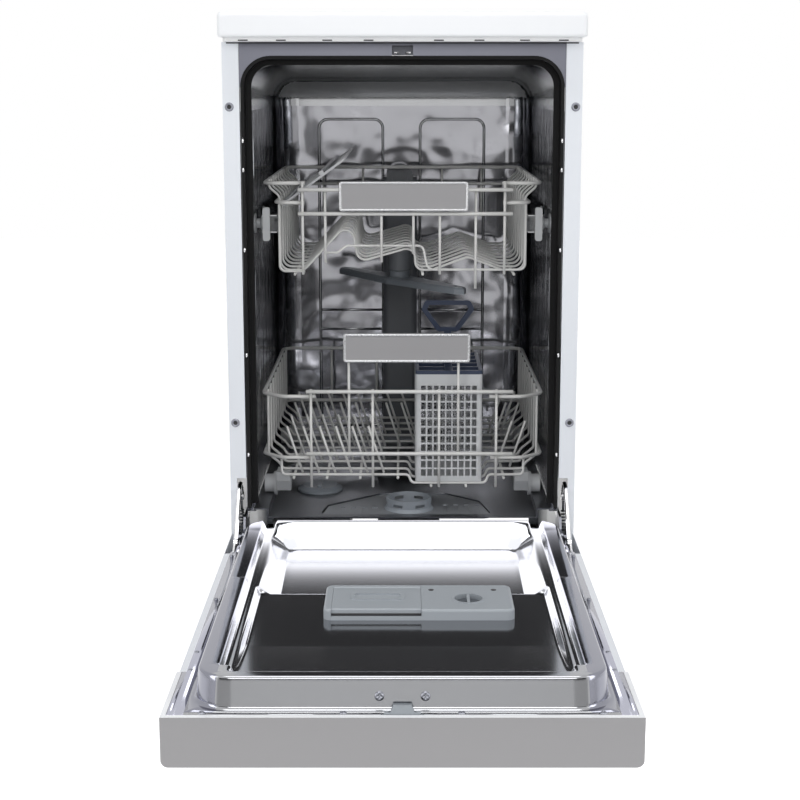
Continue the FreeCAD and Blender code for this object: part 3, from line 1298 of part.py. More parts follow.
def cutlery_lid():
    """Slotted lid on the cutlery basket, with the carrying loop on its stem."""
    x0 = CUTLERY_LEFT
    x1 = x0 + CUTLERY_WIDTH
    y0 = CUTLERY_FRONT
    y1 = y0 + CUTLERY_DEPTH
    low = CUTLERY_HIGH
    high = low + CUTLERY_LID
    lid = rounded_box(x0, x1, y0, y1, low, high, 5, AXIS_Z)
    middle = (y0 + y1) / 2
    centre = (x0 + x1) / 2
    rim = 5.0
    bar = 6.0
    rows = 5
    slot = (CUTLERY_DEPTH - 2 * rim - bar * (rows - 1)) / rows
    cutters = []
    for row in range(rows):
        y = y0 + rim + row * (slot + bar)
        for left, right in ((x0 + rim, centre - rim), (centre + rim, x1 - rim)):
            cutters.append(box(left, right, y, y + slot, low - 1, high + 1))
    lid = lid.cut(Part.makeCompound(cutters))
    half = LOOP_WIDTH / 2
    thick = 7.0
    outline = [V(centre - 14, middle - thick / 2, LOOP_LOW), V(centre + 14, middle - thick / 2, LOOP_LOW),
               V(centre + half, middle - thick / 2, LOOP_HIGH - 12),
               V(centre + half - 6, middle - thick / 2, LOOP_HIGH),
               V(centre - half + 6, middle - thick / 2, LOOP_HIGH),
               V(centre - half, middle - thick / 2, LOOP_HIGH - 12)]
    loop = prism(outline, V(0, thick, 0))
    loop = loop.makeFillet(6, edges_along(loop, AXIS_Y))
    eye = [V(centre - 10, 0, LOOP_LOW + 6), V(centre + 10, 0, LOOP_LOW + 6),
           V(centre + half - 8, 0, LOOP_HIGH - 12), V(centre + half - 11, 0, LOOP_HIGH - 6),
           V(centre - half + 11, 0, LOOP_HIGH - 6),
           V(centre - half + 8, 0, LOOP_HIGH - 12)]
    loop = loop.cut(prism(eye, V(0, 400, 0)))
    stem = box(centre - 5, centre + 5, middle - thick / 2, middle + thick / 2, high - 1, LOOP_LOW + 3)
    return fuse([lid, loop, stem])


# Door

def door_outer_panel():
    """Painted pan: a face sheet with side walls, an end wall and folded returns that carry the liner."""
    far = DOOR_FOOT_Y
    near = CONSOLE_INNER + SEAM
    high = FLANGE_Z - LINER_SHEET
    pan = box(-DOOR_HALF, DOOR_HALF, near, far, PANEL_Z, high)
    hollow = box(-DOOR_HALF + SHEET, DOOR_HALF - SHEET, near - 1, far - SHEET, PANEL_Z + SHEET, high - SHEET)
    inner = DOOR_HALF - RETURN_WIDTH
    window = box(-inner, inner, near - 1, far - RETURN_WIDTH, high - SHEET - 1, high + 1)
    pan = pan.cut(hollow).cut(window)
    slot_inner = BRACKET_INNER - 0.5
    slot_outer = DOOR_HALF - SHEET
    heel = box(slot_inner, slot_outer, far - SHEET - 1, far + 1, PIVOT_Z - 24, high + 1)
    edge = box(slot_inner, slot_outer, -100, far + 1, high - SHEET - 0.5, high + 1)
    for cutter in both_sides(heel) + both_sides(edge):
        pan = pan.cut(cutter)
    return pan


def rounded_outline(half, near, far, radius, z):
    """Level outline of straight sides and quarter-circle corners."""
    corners = [V(half - radius, far - radius, z), V(-half + radius, far - radius, z),
               V(-half + radius, near + radius, z), V(half - radius, near + radius, z)]
    edges = []
    for index, centre in enumerate(corners):
        arc = Part.makeCircle(radius, centre, AXIS_Z, 90 * index, 90 * index + 90)
        edges.append(arc)
        following = corners[(index + 1) % 4]
        turn = math.radians(90 * index + 90)
        reach = V(math.cos(turn), math.sin(turn), 0) * radius
        edges.append(Part.makeLine(centre + reach, following + reach))
    return Part.Wire(edges)


def plateau(shrink, top):
    """Raised field of the liner: drafted walls, round corners and a soft upper edge."""
    low = FLANGE_Z - 30
    spread = PLATEAU_DRAFT * (ROLL_LEVEL - low) / (ROLL_LEVEL - FLANGE_Z)
    outlines = []
    for z, out in ((low, spread - shrink), (top, -shrink)):
        side = out * SIDE_DRAFT
        outlines.append(rounded_outline(PLATEAU_HALF + side, -PLATEAU_NEAR - out, -PLATEAU_FAR + side,
                                        PLATEAU_RADIUS + side, z))
    field = Part.makeLoft(outlines, True, True)
    rim = [edge for edge in field.Edges if edge.BoundBox.ZMin > top - 0.01]
    return field.makeFillet(PLATEAU_EDGE - shrink, rim)


def liner_pocket(grow):
    """Hollow of the liner: a drafted well, a table with a ramp, and wheel grooves open at the far end."""
    high = ROLL_LEVEL + 10
    side = POCKET_HALF - GROOVE_WIDTH + grow
    edge = table_far()
    draft = WELL_DRAFT / (ROLL_LEVEL - WELL_LEVEL)
    reach = side - draft * (ROLL_LEVEL - GROOVE_DEPTH - WELL_LEVEL)
    outlines = []
    for z in (WELL_LEVEL - grow, high):
        out = draft * (z + grow - WELL_LEVEL)
        far = POCKET_FAR - WELL_DRAFT + grow + out
        outlines.append(rounded_outline(reach + out, edge - grow - out / 20, far, WELL_RADIUS + out / 2, z))
    well = Part.makeLoft(outlines, True, True)
    table = TABLE_LEVEL - grow
    near = POCKET_NEAR - grow
    run = [V(-side, edge + 20, high), V(-side, edge + 20, table), V(-side, near + RAMP_LENGTH, table),
           V(-side, near, ROLL_LEVEL - RAMP_LIP - grow), V(-side, near, high)]
    deck = prism(run, V(2 * side, 0, 0))
    groove = ROLL_LEVEL - GROOVE_DEPTH - grow
    inner = POCKET_HALF - GROOVE_WIDTH - 2
    start = POCKET_NEAR + GROOVE_NEAR_GAP - grow
    slot = rounded_box(inner, POCKET_HALF + grow, start, -PLATEAU_FAR + 30, groove, high, GROOVE_RADIUS, AXIS_Z)
    return fuse([well, deck] + both_sides(slot))


def table_far():
    """Far edge of the table that carries the dispenser."""
    return DISPENSER_FAR + 6


def liner_form(shrink):
    """Solid below the liner's face, moved in by the sheet for its back."""
    top = ROLL_LEVEL - shrink
    near = CONSOLE_END + CONSOLE_RIM + SEAM
    far = DOOR_FOOT_Y - 2
    low = FLANGE_Z - 30
    slab = box(-LINER_HALF, LINER_HALF, near, far, low, FLANGE_Z - shrink)
    return fuse([slab, plateau(shrink, top)]).cut(liner_pocket(shrink))


def door_inner_liner():
    """Pressed stainless liner: flange, raised field and basin, cut clear at the hinges and the lock."""
    sheet = liner_form(0).cut(liner_form(LINER_SHEET))
    corner = box(LEVER_X - 3, LINER_HALF + 1, -96, 0, FLANGE_Z - 40, FLANGE_Z + 5)
    heel = box(BRACKET_INNER - 1, LINER_HALF + 1, PIVOT_Y - 12, 0, FLANGE_Z - 40, FLANGE_Z + 5)
    for cutter in both_sides(corner) + both_sides(heel):
        sheet = sheet.cut(cutter)
    mouth = lock_mouth_y()
    sheet = sheet.cut(box(-19, 19, mouth - 4, mouth + 2.6, FLANGE_Z - 5, FLANGE_Z + 5))
    rim = DISPENSER_FLANGE
    left = DISPENSER_LEFT + rim
    right = DISPENSER_LEFT + DISPENSER_WIDTH - rim
    near = DISPENSER_FAR - DISPENSER_LENGTH + rim
    return sheet.cut(box(left, right, near, DISPENSER_FAR - rim, FLANGE_Z - 10, TABLE_LEVEL + 1))


def console_housing():
    """Moulded control panel: a deep shell with a finger pocket, screw bosses and board posts."""
    half = CONSOLE_HALF
    wall = CONSOLE_WALL
    low = DOOR_OUTER_Z
    shell = box(-half, half, CONSOLE_END, CONSOLE_INNER, low, FLANGE_Z)
    bottom = [edge for edge in edges_along(shell, AXIS_Y) if edge.BoundBox.ZMax < low + 1]
    shell = shell.makeFillet(CONSOLE_CORNER, bottom)
    hollow = box(-half + wall, half - wall, CONSOLE_END + wall, CONSOLE_INNER + 1, low + wall, FLANGE_Z + 1)
    inside = [edge for edge in edges_along(hollow, AXIS_Y) if edge.BoundBox.ZMax < low + wall + 1]
    hollow = hollow.makeFillet(CONSOLE_CORNER - wall, inside)
    shell = shell.cut(hollow)
    rim = box(-half, half, CONSOLE_END, CONSOLE_INNER, FLANGE_Z - wall, FLANGE_Z)
    side = half - CONSOLE_SIDE_RIM
    rim = rim.cut(box(-side, side, CONSOLE_END + CONSOLE_RIM, CONSOLE_INNER + 1, low, FLANGE_Z + 1))
    parts = [shell, rim]
    outer = half - 38
    for x in (-outer, -52, 52, outer):
        y = CONSOLE_END + wall + 3.5
        parts.append(rod(V(x, y, low + wall / 2), V(x, y, FLANGE_Z - LINER_SHEET), 5))
    outer = half - 29
    for x in (-outer, -70, 70, outer):
        for y in (CONSOLE_END + 25, CONSOLE_INNER - 30):
            parts.append(rod(V(x, y, low + wall / 2), V(x, y, board_level()), 4))
    grip_far = CONSOLE_INNER - 4
    grip_near = grip_far - GRIP_WIDTH
    parts.append(box(-GRIP_HALF - wall, GRIP_HALF + wall, grip_near - wall, grip_far + wall, low + 1,
                     low + GRIP_DEEP + wall))
    shell = fuse(parts)
    shell = shell.cut(box(-GRIP_HALF, GRIP_HALF, grip_near, grip_far, low - 1, low + GRIP_DEEP))
    for x, radius in button_places().values():
        shell = shell.cut(rod(V(x, button_y(), low - 1), V(x, button_y(), low + wall + 1), radius + SEAM))
    return shell


def board_level():
    return DOOR_OUTER_Z + 14.0


def button_y():
    return CONSOLE_END + 62.0


def button_places():
    """Each button's place across the console and its radius, counted from the console's ends."""
    end = CONSOLE_HALF
    return {"power_button": (46 - end, 9.0), "program_button": (104 - end, 7.0),
            "start_button": (end - 46, 9.0)}


def push_button(x, radius):
    """Domed key with a keeper flange inside the console and a stem short of its switch."""
    y = button_y()
    low = DOOR_OUTER_Z
    inside = low + CONSOLE_WALL
    travel = 2.0
    profile = [V(0, 0, low - 1.2), V(radius - 2, 0, low - 1.2), V(radius, 0, low - 0.2),
               V(radius, 0, inside + SEAM), V(radius + 2, 0, inside + SEAM),
               V(radius + 2, 0, inside + SEAM + 1.6), V(3, 0, inside + SEAM + 1.6),
               V(3, 0, board_level() - travel - SEAM), V(0, 0, board_level() - travel - SEAM)]
    key = Part.Face(Part.makePolygon(profile + profile[:1])).revolve(V(0, 0, 0), AXIS_Z, 360)
    key.translate(V(x, y, 0))
    return key


def control_board():
    """Circuit board on the console's posts with its relays, plug headers and display block."""
    z = board_level()
    y0 = CONSOLE_END + 15
    y1 = CONSOLE_INNER - 36
    half = CONSOLE_HALF - 19
    board = box(-half, half, y0, y1, z, z + 1.6)
    parts = [board]
    for x, y, wide, deep, tall in ((-150, 20, 28, 16, 16), (-90, 20, 20, 16, 18), (40, 26, 60, 14, 9),
                                   (130, 22, 30, 20, 14)):
        parts.append(box(x, x + wide, y0 + y, y0 + y + deep, z + 1, z + 1.6 + tall))
    return fuse(parts)


def door_lock():
    """Lock body under the flange, with a mouth that stands against the raised field."""
    y = lock_mouth_y()
    body = box(-30, 30, y - 2.6, y + 24, FLANGE_Z - 30, FLANGE_Z - LINER_SHEET - SEAM)
    right = [V(17, y - 2.6, FLANGE_Z - 5), V(17, y - 2.6, FLANGE_Z + 1.5), V(11, y - 2.6, FLANGE_Z + 2),
             V(8.5, y - 2.6, FLANGE_Z + 9)]
    left = [V(-point.x, point.y, point.z) for point in reversed(right)]
    mouth = prism(right + left, V(0, 4.8, 0))
    slot = box(-13, 13, y - 1.6, y + 1.6, FLANGE_Z - 18, FLANGE_Z + 12)
    return fuse([body, mouth]).cut(slot)


def hinge_arms():
    """Steel arm on each side of the door: pivot eye, long leg and the bent spring lever."""
    x = -ARM_X
    t = ARM_THICK
    low = PIVOT_Z - ARM_HEIGHT
    high = PIVOT_Z + 3
    root_y = LEVER_ROOT_Y
    root_z = LEVER_ROOT_Z
    boss = LEVER_EYE_RADIUS
    end = PIVOT_Y - ARM_LENGTH
    leg = prism([V(x, PIVOT_Y, PIVOT_Z - 9), V(x, PIVOT_Y, PIVOT_Z + 9), V(x, root_y + 12, high),
                 V(x, root_y + boss, root_z), V(x, root_y - boss, root_z), V(x, root_y - 16, high),
                 V(x, end, high), V(x, end, low)], V(t, 0, 0))
    eye = rod(V(x, PIVOT_Y, PIVOT_Z), V(x + t, PIVOT_Y, PIVOT_Z), 9)
    root = rod(V(x, root_y, root_z), V(-LEVER_X + LEVER_ROD / 2, root_y, root_z), boss)
    foot = box(-DOOR_HALF + SHEET, x + t, end, end + 40, low, low + t)
    crest_z = EYE_Z + 23
    route = [V(-LEVER_X, root_y, root_z), V(-LEVER_X, -3, crest_z - 5), V(-LEVER_X, EYE_Y - 16, crest_z),
             V(-LEVER_X, EYE_Y, EYE_Z)]
    lever = bent_wire(bend(route, 16, 3), LEVER_ROD, AXIS_X, 8)
    hook = rod(V(-LEVER_X - 2, EYE_Y, EYE_Z), V(-LEVER_X + 2, EYE_Y, EYE_Z), LEVER_EYE_RADIUS)
    arm = fuse([leg, eye, root, foot, lever, hook])
    bore = rod(V(x - 1, PIVOT_Y, PIVOT_Z), V(x + t + 1, PIVOT_Y, PIVOT_Z), PIVOT_RADIUS + RUNNING_FIT)
    hole = rod(V(-LEVER_X - 3, EYE_Y, EYE_Z), V(-LEVER_X + 3, EYE_Y, EYE_Z), LEVER_EYE_RADIUS / 2)
    return both_sides(arm.cut(bore).cut(hole))


def hinge_brackets():
    """Upright plate in each front corner on the tray: the door's pin above, the spring's tab below."""
    inner = -BRACKET_INNER
    outer = inner - BRACKET_THICK
    low = FOOT_HEIGHT + BASE_WALL
    nose = 8.0
    outline = [V(inner, 14, low), V(inner, 60, low), V(inner, 60, 205), V(inner, 8, 205),
               V(inner, 2, PIVOT_Z + nose), V(inner, PIVOT_Y, PIVOT_Z + nose),
               V(inner, PIVOT_Y, PIVOT_Z - nose), V(inner, 12, 150)]
    plate = prism(outline, V(-BRACKET_THICK, 0, 0))
    tip = rod(V(inner, PIVOT_Y, PIVOT_Z), V(outer, PIVOT_Y, PIVOT_Z), nose)
    pin = rod(V(outer + 1, PIVOT_Y, PIVOT_Z), V(-ARM_X - 2, PIVOT_Y, PIVOT_Z), PIVOT_RADIUS)
    tab = box(-SPRING_X - SPRING_RADIUS, outer + 1, EYE_Y - 7, EYE_Y + 7, SPRING_FOOT - 3, SPRING_FOOT)
    return both_sides(fuse([plate, tip, pin, tab]))


def door_springs():
    """Balance spring on each side, drawn out to its full length, with a hook under the lever's eye."""
    x = -SPRING_X
    y = EYE_Y
    top = EYE_Z - LEVER_EYE_RADIUS - 0.5
    coil = rod(V(x, y, SPRING_FOOT), V(x, y, top - SPRING_HOOK), SPRING_RADIUS)
    hook = box(x, x + 4, y - 2, y + 2, top - SPRING_HOOK - 1, top)
    return both_sides(fuse([coil, hook]))


def dispenser_body():
    """Moulded dispenser set in the liner: a flanged face, a detergent well and a rinse-aid tank."""
    x0 = DISPENSER_LEFT
    x1 = x0 + DISPENSER_WIDTH
    y1 = DISPENSER_FAR
    y0 = y1 - DISPENSER_LENGTH
    seat = TABLE_LEVEL
    rim = DISPENSER_FLANGE + SEAM
    face = rounded_box(x0, x1, y0, y1, seat, DISPENSER_TOP, 9, AXIS_Z)
    upper = [edge for edge in face.Edges if edge.BoundBox.ZMin > DISPENSER_TOP - 0.01]
    face = face.makeFillet(3, upper)
    tank = box(x0 + rim, x1 - rim, y0 + rim, y1 - rim, seat - DISPENSER_BOX_DEPTH, seat + 1)
    body = fuse([face, tank])
    lid_low = DISPENSER_TOP - LID_THICK
    lx0, lx1, ly0, ly1 = lid_box()
    ring = rod(V(CAP_X, cap_y(), seat), V(CAP_X, cap_y(), DISPENSER_TOP + 0.7), CAP_RADIUS + CAP_RING)
    body = fuse([body, ring])
    body = body.cut(box(lx0 - SEAM, lx1 + SEAM, ly0 - 2, ly1 + 2 * SEAM, lid_low - SEAM, DISPENSER_TOP + 1))
    sill = lid_low - LID_LIP - 2 * SEAM
    body = body.cut(box(lx0 - SEAM, lx1 + SEAM, y0 - 1, ly0 + 4, sill, DISPENSER_TOP + 1))
    body = body.cut(rounded_box(lx0 + 6, lx1 - 6, ly0 + 8, ly1 - 10, seat - 16, lid_low, 6, AXIS_Z))
    body = body.cut(rod(V(CAP_X, cap_y(), seat - 12), V(CAP_X, cap_y(), DISPENSER_TOP + 1), CAP_RADIUS + SEAM))
    for x in SIGHT_X:
        y = y1 - SIGHT_INSET
        body = body.cut(rod(V(x, y, DISPENSER_TOP - 3), V(x, y, DISPENSER_TOP + 1), SIGHT_RADIUS))
    return body


def lid_box():
    """Left, right, near and far edges of the detergent lid."""
    x0 = DISPENSER_LEFT + LID_INSET
    return x0, x0 + LID_WIDTH, DISPENSER_FAR - DISPENSER_LENGTH + 3, DISPENSER_FAR - 8


def lid_hinge():
    """Line about which the detergent lid swings, in its far edge."""
    return lid_box()[3] - LID_PIN_RADIUS, DISPENSER_TOP - LID_THICK / 2 + 0.5


def cap_y():
    return DISPENSER_FAR - DISPENSER_LENGTH / 2 - CAP_OFFSET


def detergent_lid():
    """Flap over the detergent well: a lip at its near edge, an oblong finger ridge and a round hinge edge."""
    x0, x1, y0, y1 = lid_box()
    low = DISPENSER_TOP - LID_THICK
    hinge_y, hinge_z = lid_hinge()
    leaf = box(x0, x1, y0, hinge_y, low, DISPENSER_TOP)
    lip = box(x0, x1, y0, y0 + 2.5, low - LID_LIP, low + 1)
    near_edges = [line for line in edges_along(leaf, AXIS_X) if line.BoundBox.YMax < y0 + 1]
    leaf = leaf.makeFillet(2, [line for line in near_edges if line.BoundBox.ZMin > low + 1])
    edge = rod(V(x0, hinge_y, hinge_z), V(x1, hinge_y, hinge_z), LID_PIN_RADIUS)
    ridge = rounded_box(x0 + 20, x1 - 18, y0 + 30, y0 + 54, DISPENSER_TOP - 1, DISPENSER_TOP + 1.2, 6, AXIS_Z)
    dish = rounded_box(x0 + 24, x1 - 22, y0 + 34, y0 + 50, DISPENSER_TOP - 0.6, DISPENSER_TOP + 3, 4, AXIS_Z)
    return fuse([leaf, lip, edge, ridge]).cut(dish)


def rinse_aid_cap():
    """Round quarter-turn plug with a crossbar."""
    top = DISPENSER_TOP + 0.4
    low = TABLE_LEVEL - 11
    plug = rod(V(CAP_X, cap_y(), low), V(CAP_X, cap_y(), top - 5), CAP_RADIUS)
    reach = CAP_RADIUS - 1
    bar = rounded_box(CAP_X - 1.6, CAP_X + 1.6, cap_y() - reach, cap_y() + reach, top - 6, top, 1.4, AXIS_Z)
    return fuse([plug, bar])


# Export, one file for each node

os.makedirs("parts", exist_ok=True)

save("worktop", worktop())
save("worktop_frame", worktop_frame())
left_panel, right_panel = both_sides(side_panel())
save("left_side_panel", left_panel)
save("right_side_panel", right_panel)
save("rear_panel", rear_panel())
save("base_tray", base_tray())
save("levelling_feet", levelling_feet())
save("plinth", plinth())
save("front_band", front_band())
save("latch_catch", latch_catch())
left_wall, right_wall, back_wall, ceiling = tub_pieces()
save("tub_left_wall", [left_wall] + roller_studs(-1))
save("tub_right_wall", [right_wall] + roller_studs(1))
save("tub_back_wall", back_wall)
save("tub_ceiling", ceiling)
save("tub_floor", tub_floor())
save("door_gasket", door_gasket())
save("flat_filter", flat_filter())
save("coarse_filter", coarse_filter())
save("sump", sump())
save("circulation_pump", circulation_pump())
save("drain_pump", drain_pump())
save("water_softener", water_softener())
save("salt_cap", salt_cap())
save("inlet_valve", inlet_valve())
save("riser_pipe", riser_pipe())
save("lower_spray_post", lower_spray_post())
save("lower_spray_arm", lower_spray_arm())
save("hinge_brackets", hinge_brackets())
save("front_wall_rollers", wall_rollers(ROLLER_FRONT))
save("rear_wall_rollers", wall_rollers(ROLLER_FRONT + ROLLER_PITCH))
save("upper_rails", rails())
save("rail_end_clips", rail_end_clips())
save("upper_basket_frame", upper_basket_frame())
save("upper_basket_wires", upper_basket_wires())
save("upper_basket_handle", basket_handle(UPPER_HANDLE_X, UPPER_HANDLE_Z, UPPER_BAR_Y - BAR / 2))
save("upper_basket_glides", basket_glides())
save("upper_spray_feed", spray_feed())
save("upper_spray_arm", upper_spray_arm())
save("cup_shelf", cup_shelf())
save("lower_basket_frame", lower_basket_frame())
save("lower_basket_wires", lower_basket_wires())
save("lower_basket_handle", basket_handle(LOWER_HANDLE_X, LOWER_HANDLE_Z, LOWER_FRONT - WIRE / 2))
save("wheel_brackets", wheel_brackets())
save("front_wheels", basket_wheels(wheel_places()[0]))
save("rear_wheels", basket_wheels(wheel_places()[1]))
save("cutlery_basket", cutlery_basket())
save("cutlery_lid", cutlery_lid())
save("door_outer_panel", door_outer_panel())
save("door_inner_liner", door_inner_liner())
save("console_housing", console_housing())
save("control_board", control_board())
for button, (button_x, button_radius) in button_places().items():
    save(button, push_button(button_x, button_radius))
save("door_lock", door_lock())
save("hinge_arms", hinge_arms())
save("door_springs", door_springs())
save("dispenser_body", dispenser_body())
save("detergent_lid", detergent_lid())
save("rinse_aid_cap", rinse_aid_cap())
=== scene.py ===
# %% [markdown]
# A slim free-standing dishwasher with its door let down.
# This file dresses the machine: it loads the measured pieces, sets a camera, light and a floor,
# gives every piece its finish, and adds the forms that are drawn better as smooth surfaces.

import json
import math

import bpy
import numpy as np
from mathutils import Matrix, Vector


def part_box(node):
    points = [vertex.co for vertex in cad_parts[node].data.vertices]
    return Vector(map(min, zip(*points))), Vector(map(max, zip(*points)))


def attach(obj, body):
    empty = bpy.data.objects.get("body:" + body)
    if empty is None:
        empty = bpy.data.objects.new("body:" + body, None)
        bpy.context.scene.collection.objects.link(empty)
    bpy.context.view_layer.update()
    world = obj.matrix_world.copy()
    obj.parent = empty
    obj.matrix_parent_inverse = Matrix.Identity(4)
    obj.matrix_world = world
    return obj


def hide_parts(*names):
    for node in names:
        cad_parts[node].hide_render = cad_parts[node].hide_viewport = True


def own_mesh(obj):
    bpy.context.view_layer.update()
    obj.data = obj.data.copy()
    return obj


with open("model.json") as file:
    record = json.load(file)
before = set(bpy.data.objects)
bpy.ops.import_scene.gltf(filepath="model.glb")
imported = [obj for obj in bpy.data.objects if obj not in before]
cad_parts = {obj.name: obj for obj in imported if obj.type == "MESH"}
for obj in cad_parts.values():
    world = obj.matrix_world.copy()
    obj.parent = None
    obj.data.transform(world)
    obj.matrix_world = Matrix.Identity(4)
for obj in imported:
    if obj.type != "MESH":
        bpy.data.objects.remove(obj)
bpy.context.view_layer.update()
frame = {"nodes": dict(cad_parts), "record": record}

# %% [markdown]
# Sizes below are millimetres from the cabinet's front plane: X to the right, Y to the back, Z up from the floor.
# The shared frame has its origin under the middle of the open machine, so every point moves back a little and
# becomes metres.

# %% Places
BACK_SHIFT = 47.5
ALONG_Y, ALONG_Z, TO_FRONT = (0, 1, 0), (0, 0, 1), (0, -1, 0)


def place(points):
    """Millimetres from the front plane, as metres in the shared frame."""
    return (np.asarray(points, float) + (0.0, BACK_SHIFT, 0.0)) / 1000.0


def unit(vectors):
    """Vectors of length one."""
    vectors = np.asarray(vectors, float)
    return vectors / np.linalg.norm(vectors, axis=-1, keepdims=True)


print("the front plane lies at", place((0, 0, 0))[1], "m")

# %% [markdown]
# Bent wires follow routes of straight legs. An arc rounds each corner and takes less than half of the shorter leg.

# %% Bent routes
LEG_SHARE = 0.48


def rounded_route(corners, radius, steps=8):
    """Straight legs joined by arcs: at a corner with inside angle 2h the arc touches both legs r / tan h away."""
    points = np.asarray(corners, float)
    middle = points[1:-1]
    back = points[:-2] - middle
    ahead = points[2:] - middle
    room = LEG_SHARE * np.minimum(np.linalg.norm(back, axis=1), np.linalg.norm(ahead, axis=1))
    back, ahead = unit(back), unit(ahead)
    half = np.arccos(np.clip((back * ahead).sum(1), -1, 1)) / 2
    reach = np.minimum(radius / np.tan(half), room)
    centre = middle + unit(back + ahead) * (reach / np.cos(half))[:, None]
    start = middle + back * reach[:, None] - centre
    end = middle + ahead * reach[:, None] - centre
    turn = (math.pi - 2 * half)[:, None]
    share = np.linspace(0, 1, steps + 1)[None, :]
    first = (np.sin((1 - share) * turn) / np.sin(turn))[..., None]
    second = (np.sin(share * turn) / np.sin(turn))[..., None]
    arcs = centre[:, None] + start[:, None] * first + end[:, None] * second
    return np.vstack([points[:1], arcs.reshape(-1, 3), points[-1:]])


print("points along a bent wire:", len(rounded_route([(0, 0, 0), (9, 0, 0), (9, 9, 0)], 2)))

# %% [markdown]
# Most added forms are grids of points: a circle carried along a route gives a wire, and a profile carried round an
# axis gives a turned form.

# %% Wires and turned forms
OFF_AXIS = (0.3, 0.5, 0.81)


def grid_faces(rows, columns, wrap):
    """Quads of a grid of points, wound so that they face outward from the surfaces below."""
    here = np.arange(rows - 1)[:, None] * columns
    below = here + columns
    c = np.arange(columns if wrap else columns - 1)[None, :]
    d = (c + 1) % columns
    return np.stack([here + c, below + c, below + d, here + d], -1).reshape(-1, 4)


def circle(sides):
    """Angles round a circle, shaped to go with rows of points."""
    return np.linspace(0, 2 * math.pi, sides, endpoint=False)[None, :, None]


def tube(route, radius, normal, sides=10):
    """Round wire: S(s, a) = c(s) + r (cos a n + sin a n x t(s)), with flat ends."""
    route = np.asarray(route, float)
    normal = np.broadcast_to(np.asarray(normal, float), route.shape)
    across = unit(np.cross(normal, unit(np.gradient(route, axis=0))))
    a = circle(sides)
    rings = route[:, None] + radius * (np.cos(a) * normal[:, None] + np.sin(a) * across[:, None])
    faces = grid_faces(len(route), sides, True).tolist()
    last = (len(route) - 1) * sides
    faces += [list(range(sides)), list(range(last + sides - 1, last - 1, -1))]
    return rings.reshape(-1, 3), faces


def lathe(profile, centre, axis, sides=24):
    """Turned form: a profile of (radius, height) pairs carried round an axis."""
    profile = np.asarray(profile, float)
    axis = unit(axis)
    side = unit(np.cross(axis, OFF_AXIS))
    other = np.cross(axis, side)
    a = circle(sides)
    ring = np.cos(a) * side + np.sin(a) * other
    points = np.asarray(centre, float) + profile[:, :1, None] * ring + profile[:, 1:, None] * axis
    return points.reshape(-1, 3), grid_faces(len(profile), sides, True)[:, ::-1].tolist()


print("faces of a short wire:", len(tube([(0, 0, 0), (5, 0, 0), (10, 0, 0)], 1, ALONG_Z)[1]))

# %% [markdown]
# Every added form becomes one object that rides on a body of the machine and has a finish slot. Some of them stand
# for a measured piece, which is then not shown.

# %% Objects


def linked(name, data):
    """Object put into the scene."""
    made = bpy.data.objects.new(name, data)
    bpy.context.scene.collection.objects.link(made)
    return made


def new_mesh(name, points, faces):
    """Mesh of points in metres."""
    mesh = bpy.data.meshes.new(name)
    mesh.from_pydata(points, [], faces)
    return mesh


def new_material(name):
    """Material with nodes."""
    made = bpy.data.materials.new(name)
    made.use_nodes = True
    return made


def piece(name, parts, body, slot, stands_for=(), smooth=True):
    """One object from parts of (points in mm, faces), riding on a body."""
    points = np.vstack([part[0] for part in parts])
    starts = np.cumsum([0] + [len(part[0]) for part in parts])
    faces = [[index + start for index in face] for part, start in zip(parts, starts) for face in part[1]]
    mesh = new_mesh(name, place(points).tolist(), faces)
    mesh.polygons.foreach_set("use_smooth", [smooth] * len(mesh.polygons))
    mesh.materials.append(finishes[slot])
    made = linked(name, mesh)
    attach(made, body)
    if stands_for:
        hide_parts(*stands_for)
    print(name, len(faces), "faces on", body)
    return made


def extent(node):
    """Low and high corner of a measured piece in millimetres from the front plane."""
    return [np.asarray(corner) * 1000 - (0, BACK_SHIFT, 0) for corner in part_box(node)]


print("worktop from", *[corner.round(1) for corner in extent("worktop")])

# %% [markdown]
# The camera stands two metres in front, a little under the worktop's height, and looks down by eleven degrees.

# %% Camera
CAMERA_SPOT, LOOKING_DOWN = (0, -2053.1, 762.5), 11.04

camera = linked("camera", bpy.data.cameras.new("camera"))
camera.data.sensor_width = 36.0
camera.data.lens = 73.47
camera.data.shift_x = -0.0031
camera.location = place(CAMERA_SPOT)
camera.rotation_euler = (math.radians(90 - LOOKING_DOWN), 0, 0)
bpy.context.scene.camera = camera
print("camera at", [round(v, 3) for v in camera.location])

# %% [markdown]
# The background and the floor are white to the camera and to reflections; only a plain level of light falls on
# the machine itself, so that its colours come out as they are written.

# %% World and floor
WHITE = (1, 1, 1, 1)
FALLING_LIGHT, SEEN_LIGHT, FLOOR_GLOW = 0.4, 1.0, 0.7

bpy.context.scene.view_settings.view_transform = "Standard"


def seen_mask(tree):
    """One where a ray comes from the camera, a mirror or a glass."""
    path = tree.nodes.new("ShaderNodeLightPath")
    mask = path.outputs["Is Camera Ray"]
    for ray in ("Is Glossy Ray", "Is Transmission Ray"):
        either = tree.nodes.new("ShaderNodeMath")
        either.operation = "MAXIMUM"
        tree.links.new(mask, either.inputs[0])
        tree.links.new(path.outputs[ray], either.inputs[1])
        mask = either.outputs[0]
    return mask


world = bpy.data.worlds.new("studio")
bpy.context.scene.world = world
world.use_nodes = True
tree = world.node_tree
background = tree.nodes["Background"]
background.inputs["Color"].default_value = WHITE
level = tree.nodes.new("ShaderNodeMapRange")
level.inputs["To Min"].default_value = FALLING_LIGHT
level.inputs["To Max"].default_value = SEEN_LIGHT
tree.links.new(seen_mask(tree), level.inputs["Value"])
tree.links.new(level.outputs["Result"], background.inputs["Strength"])

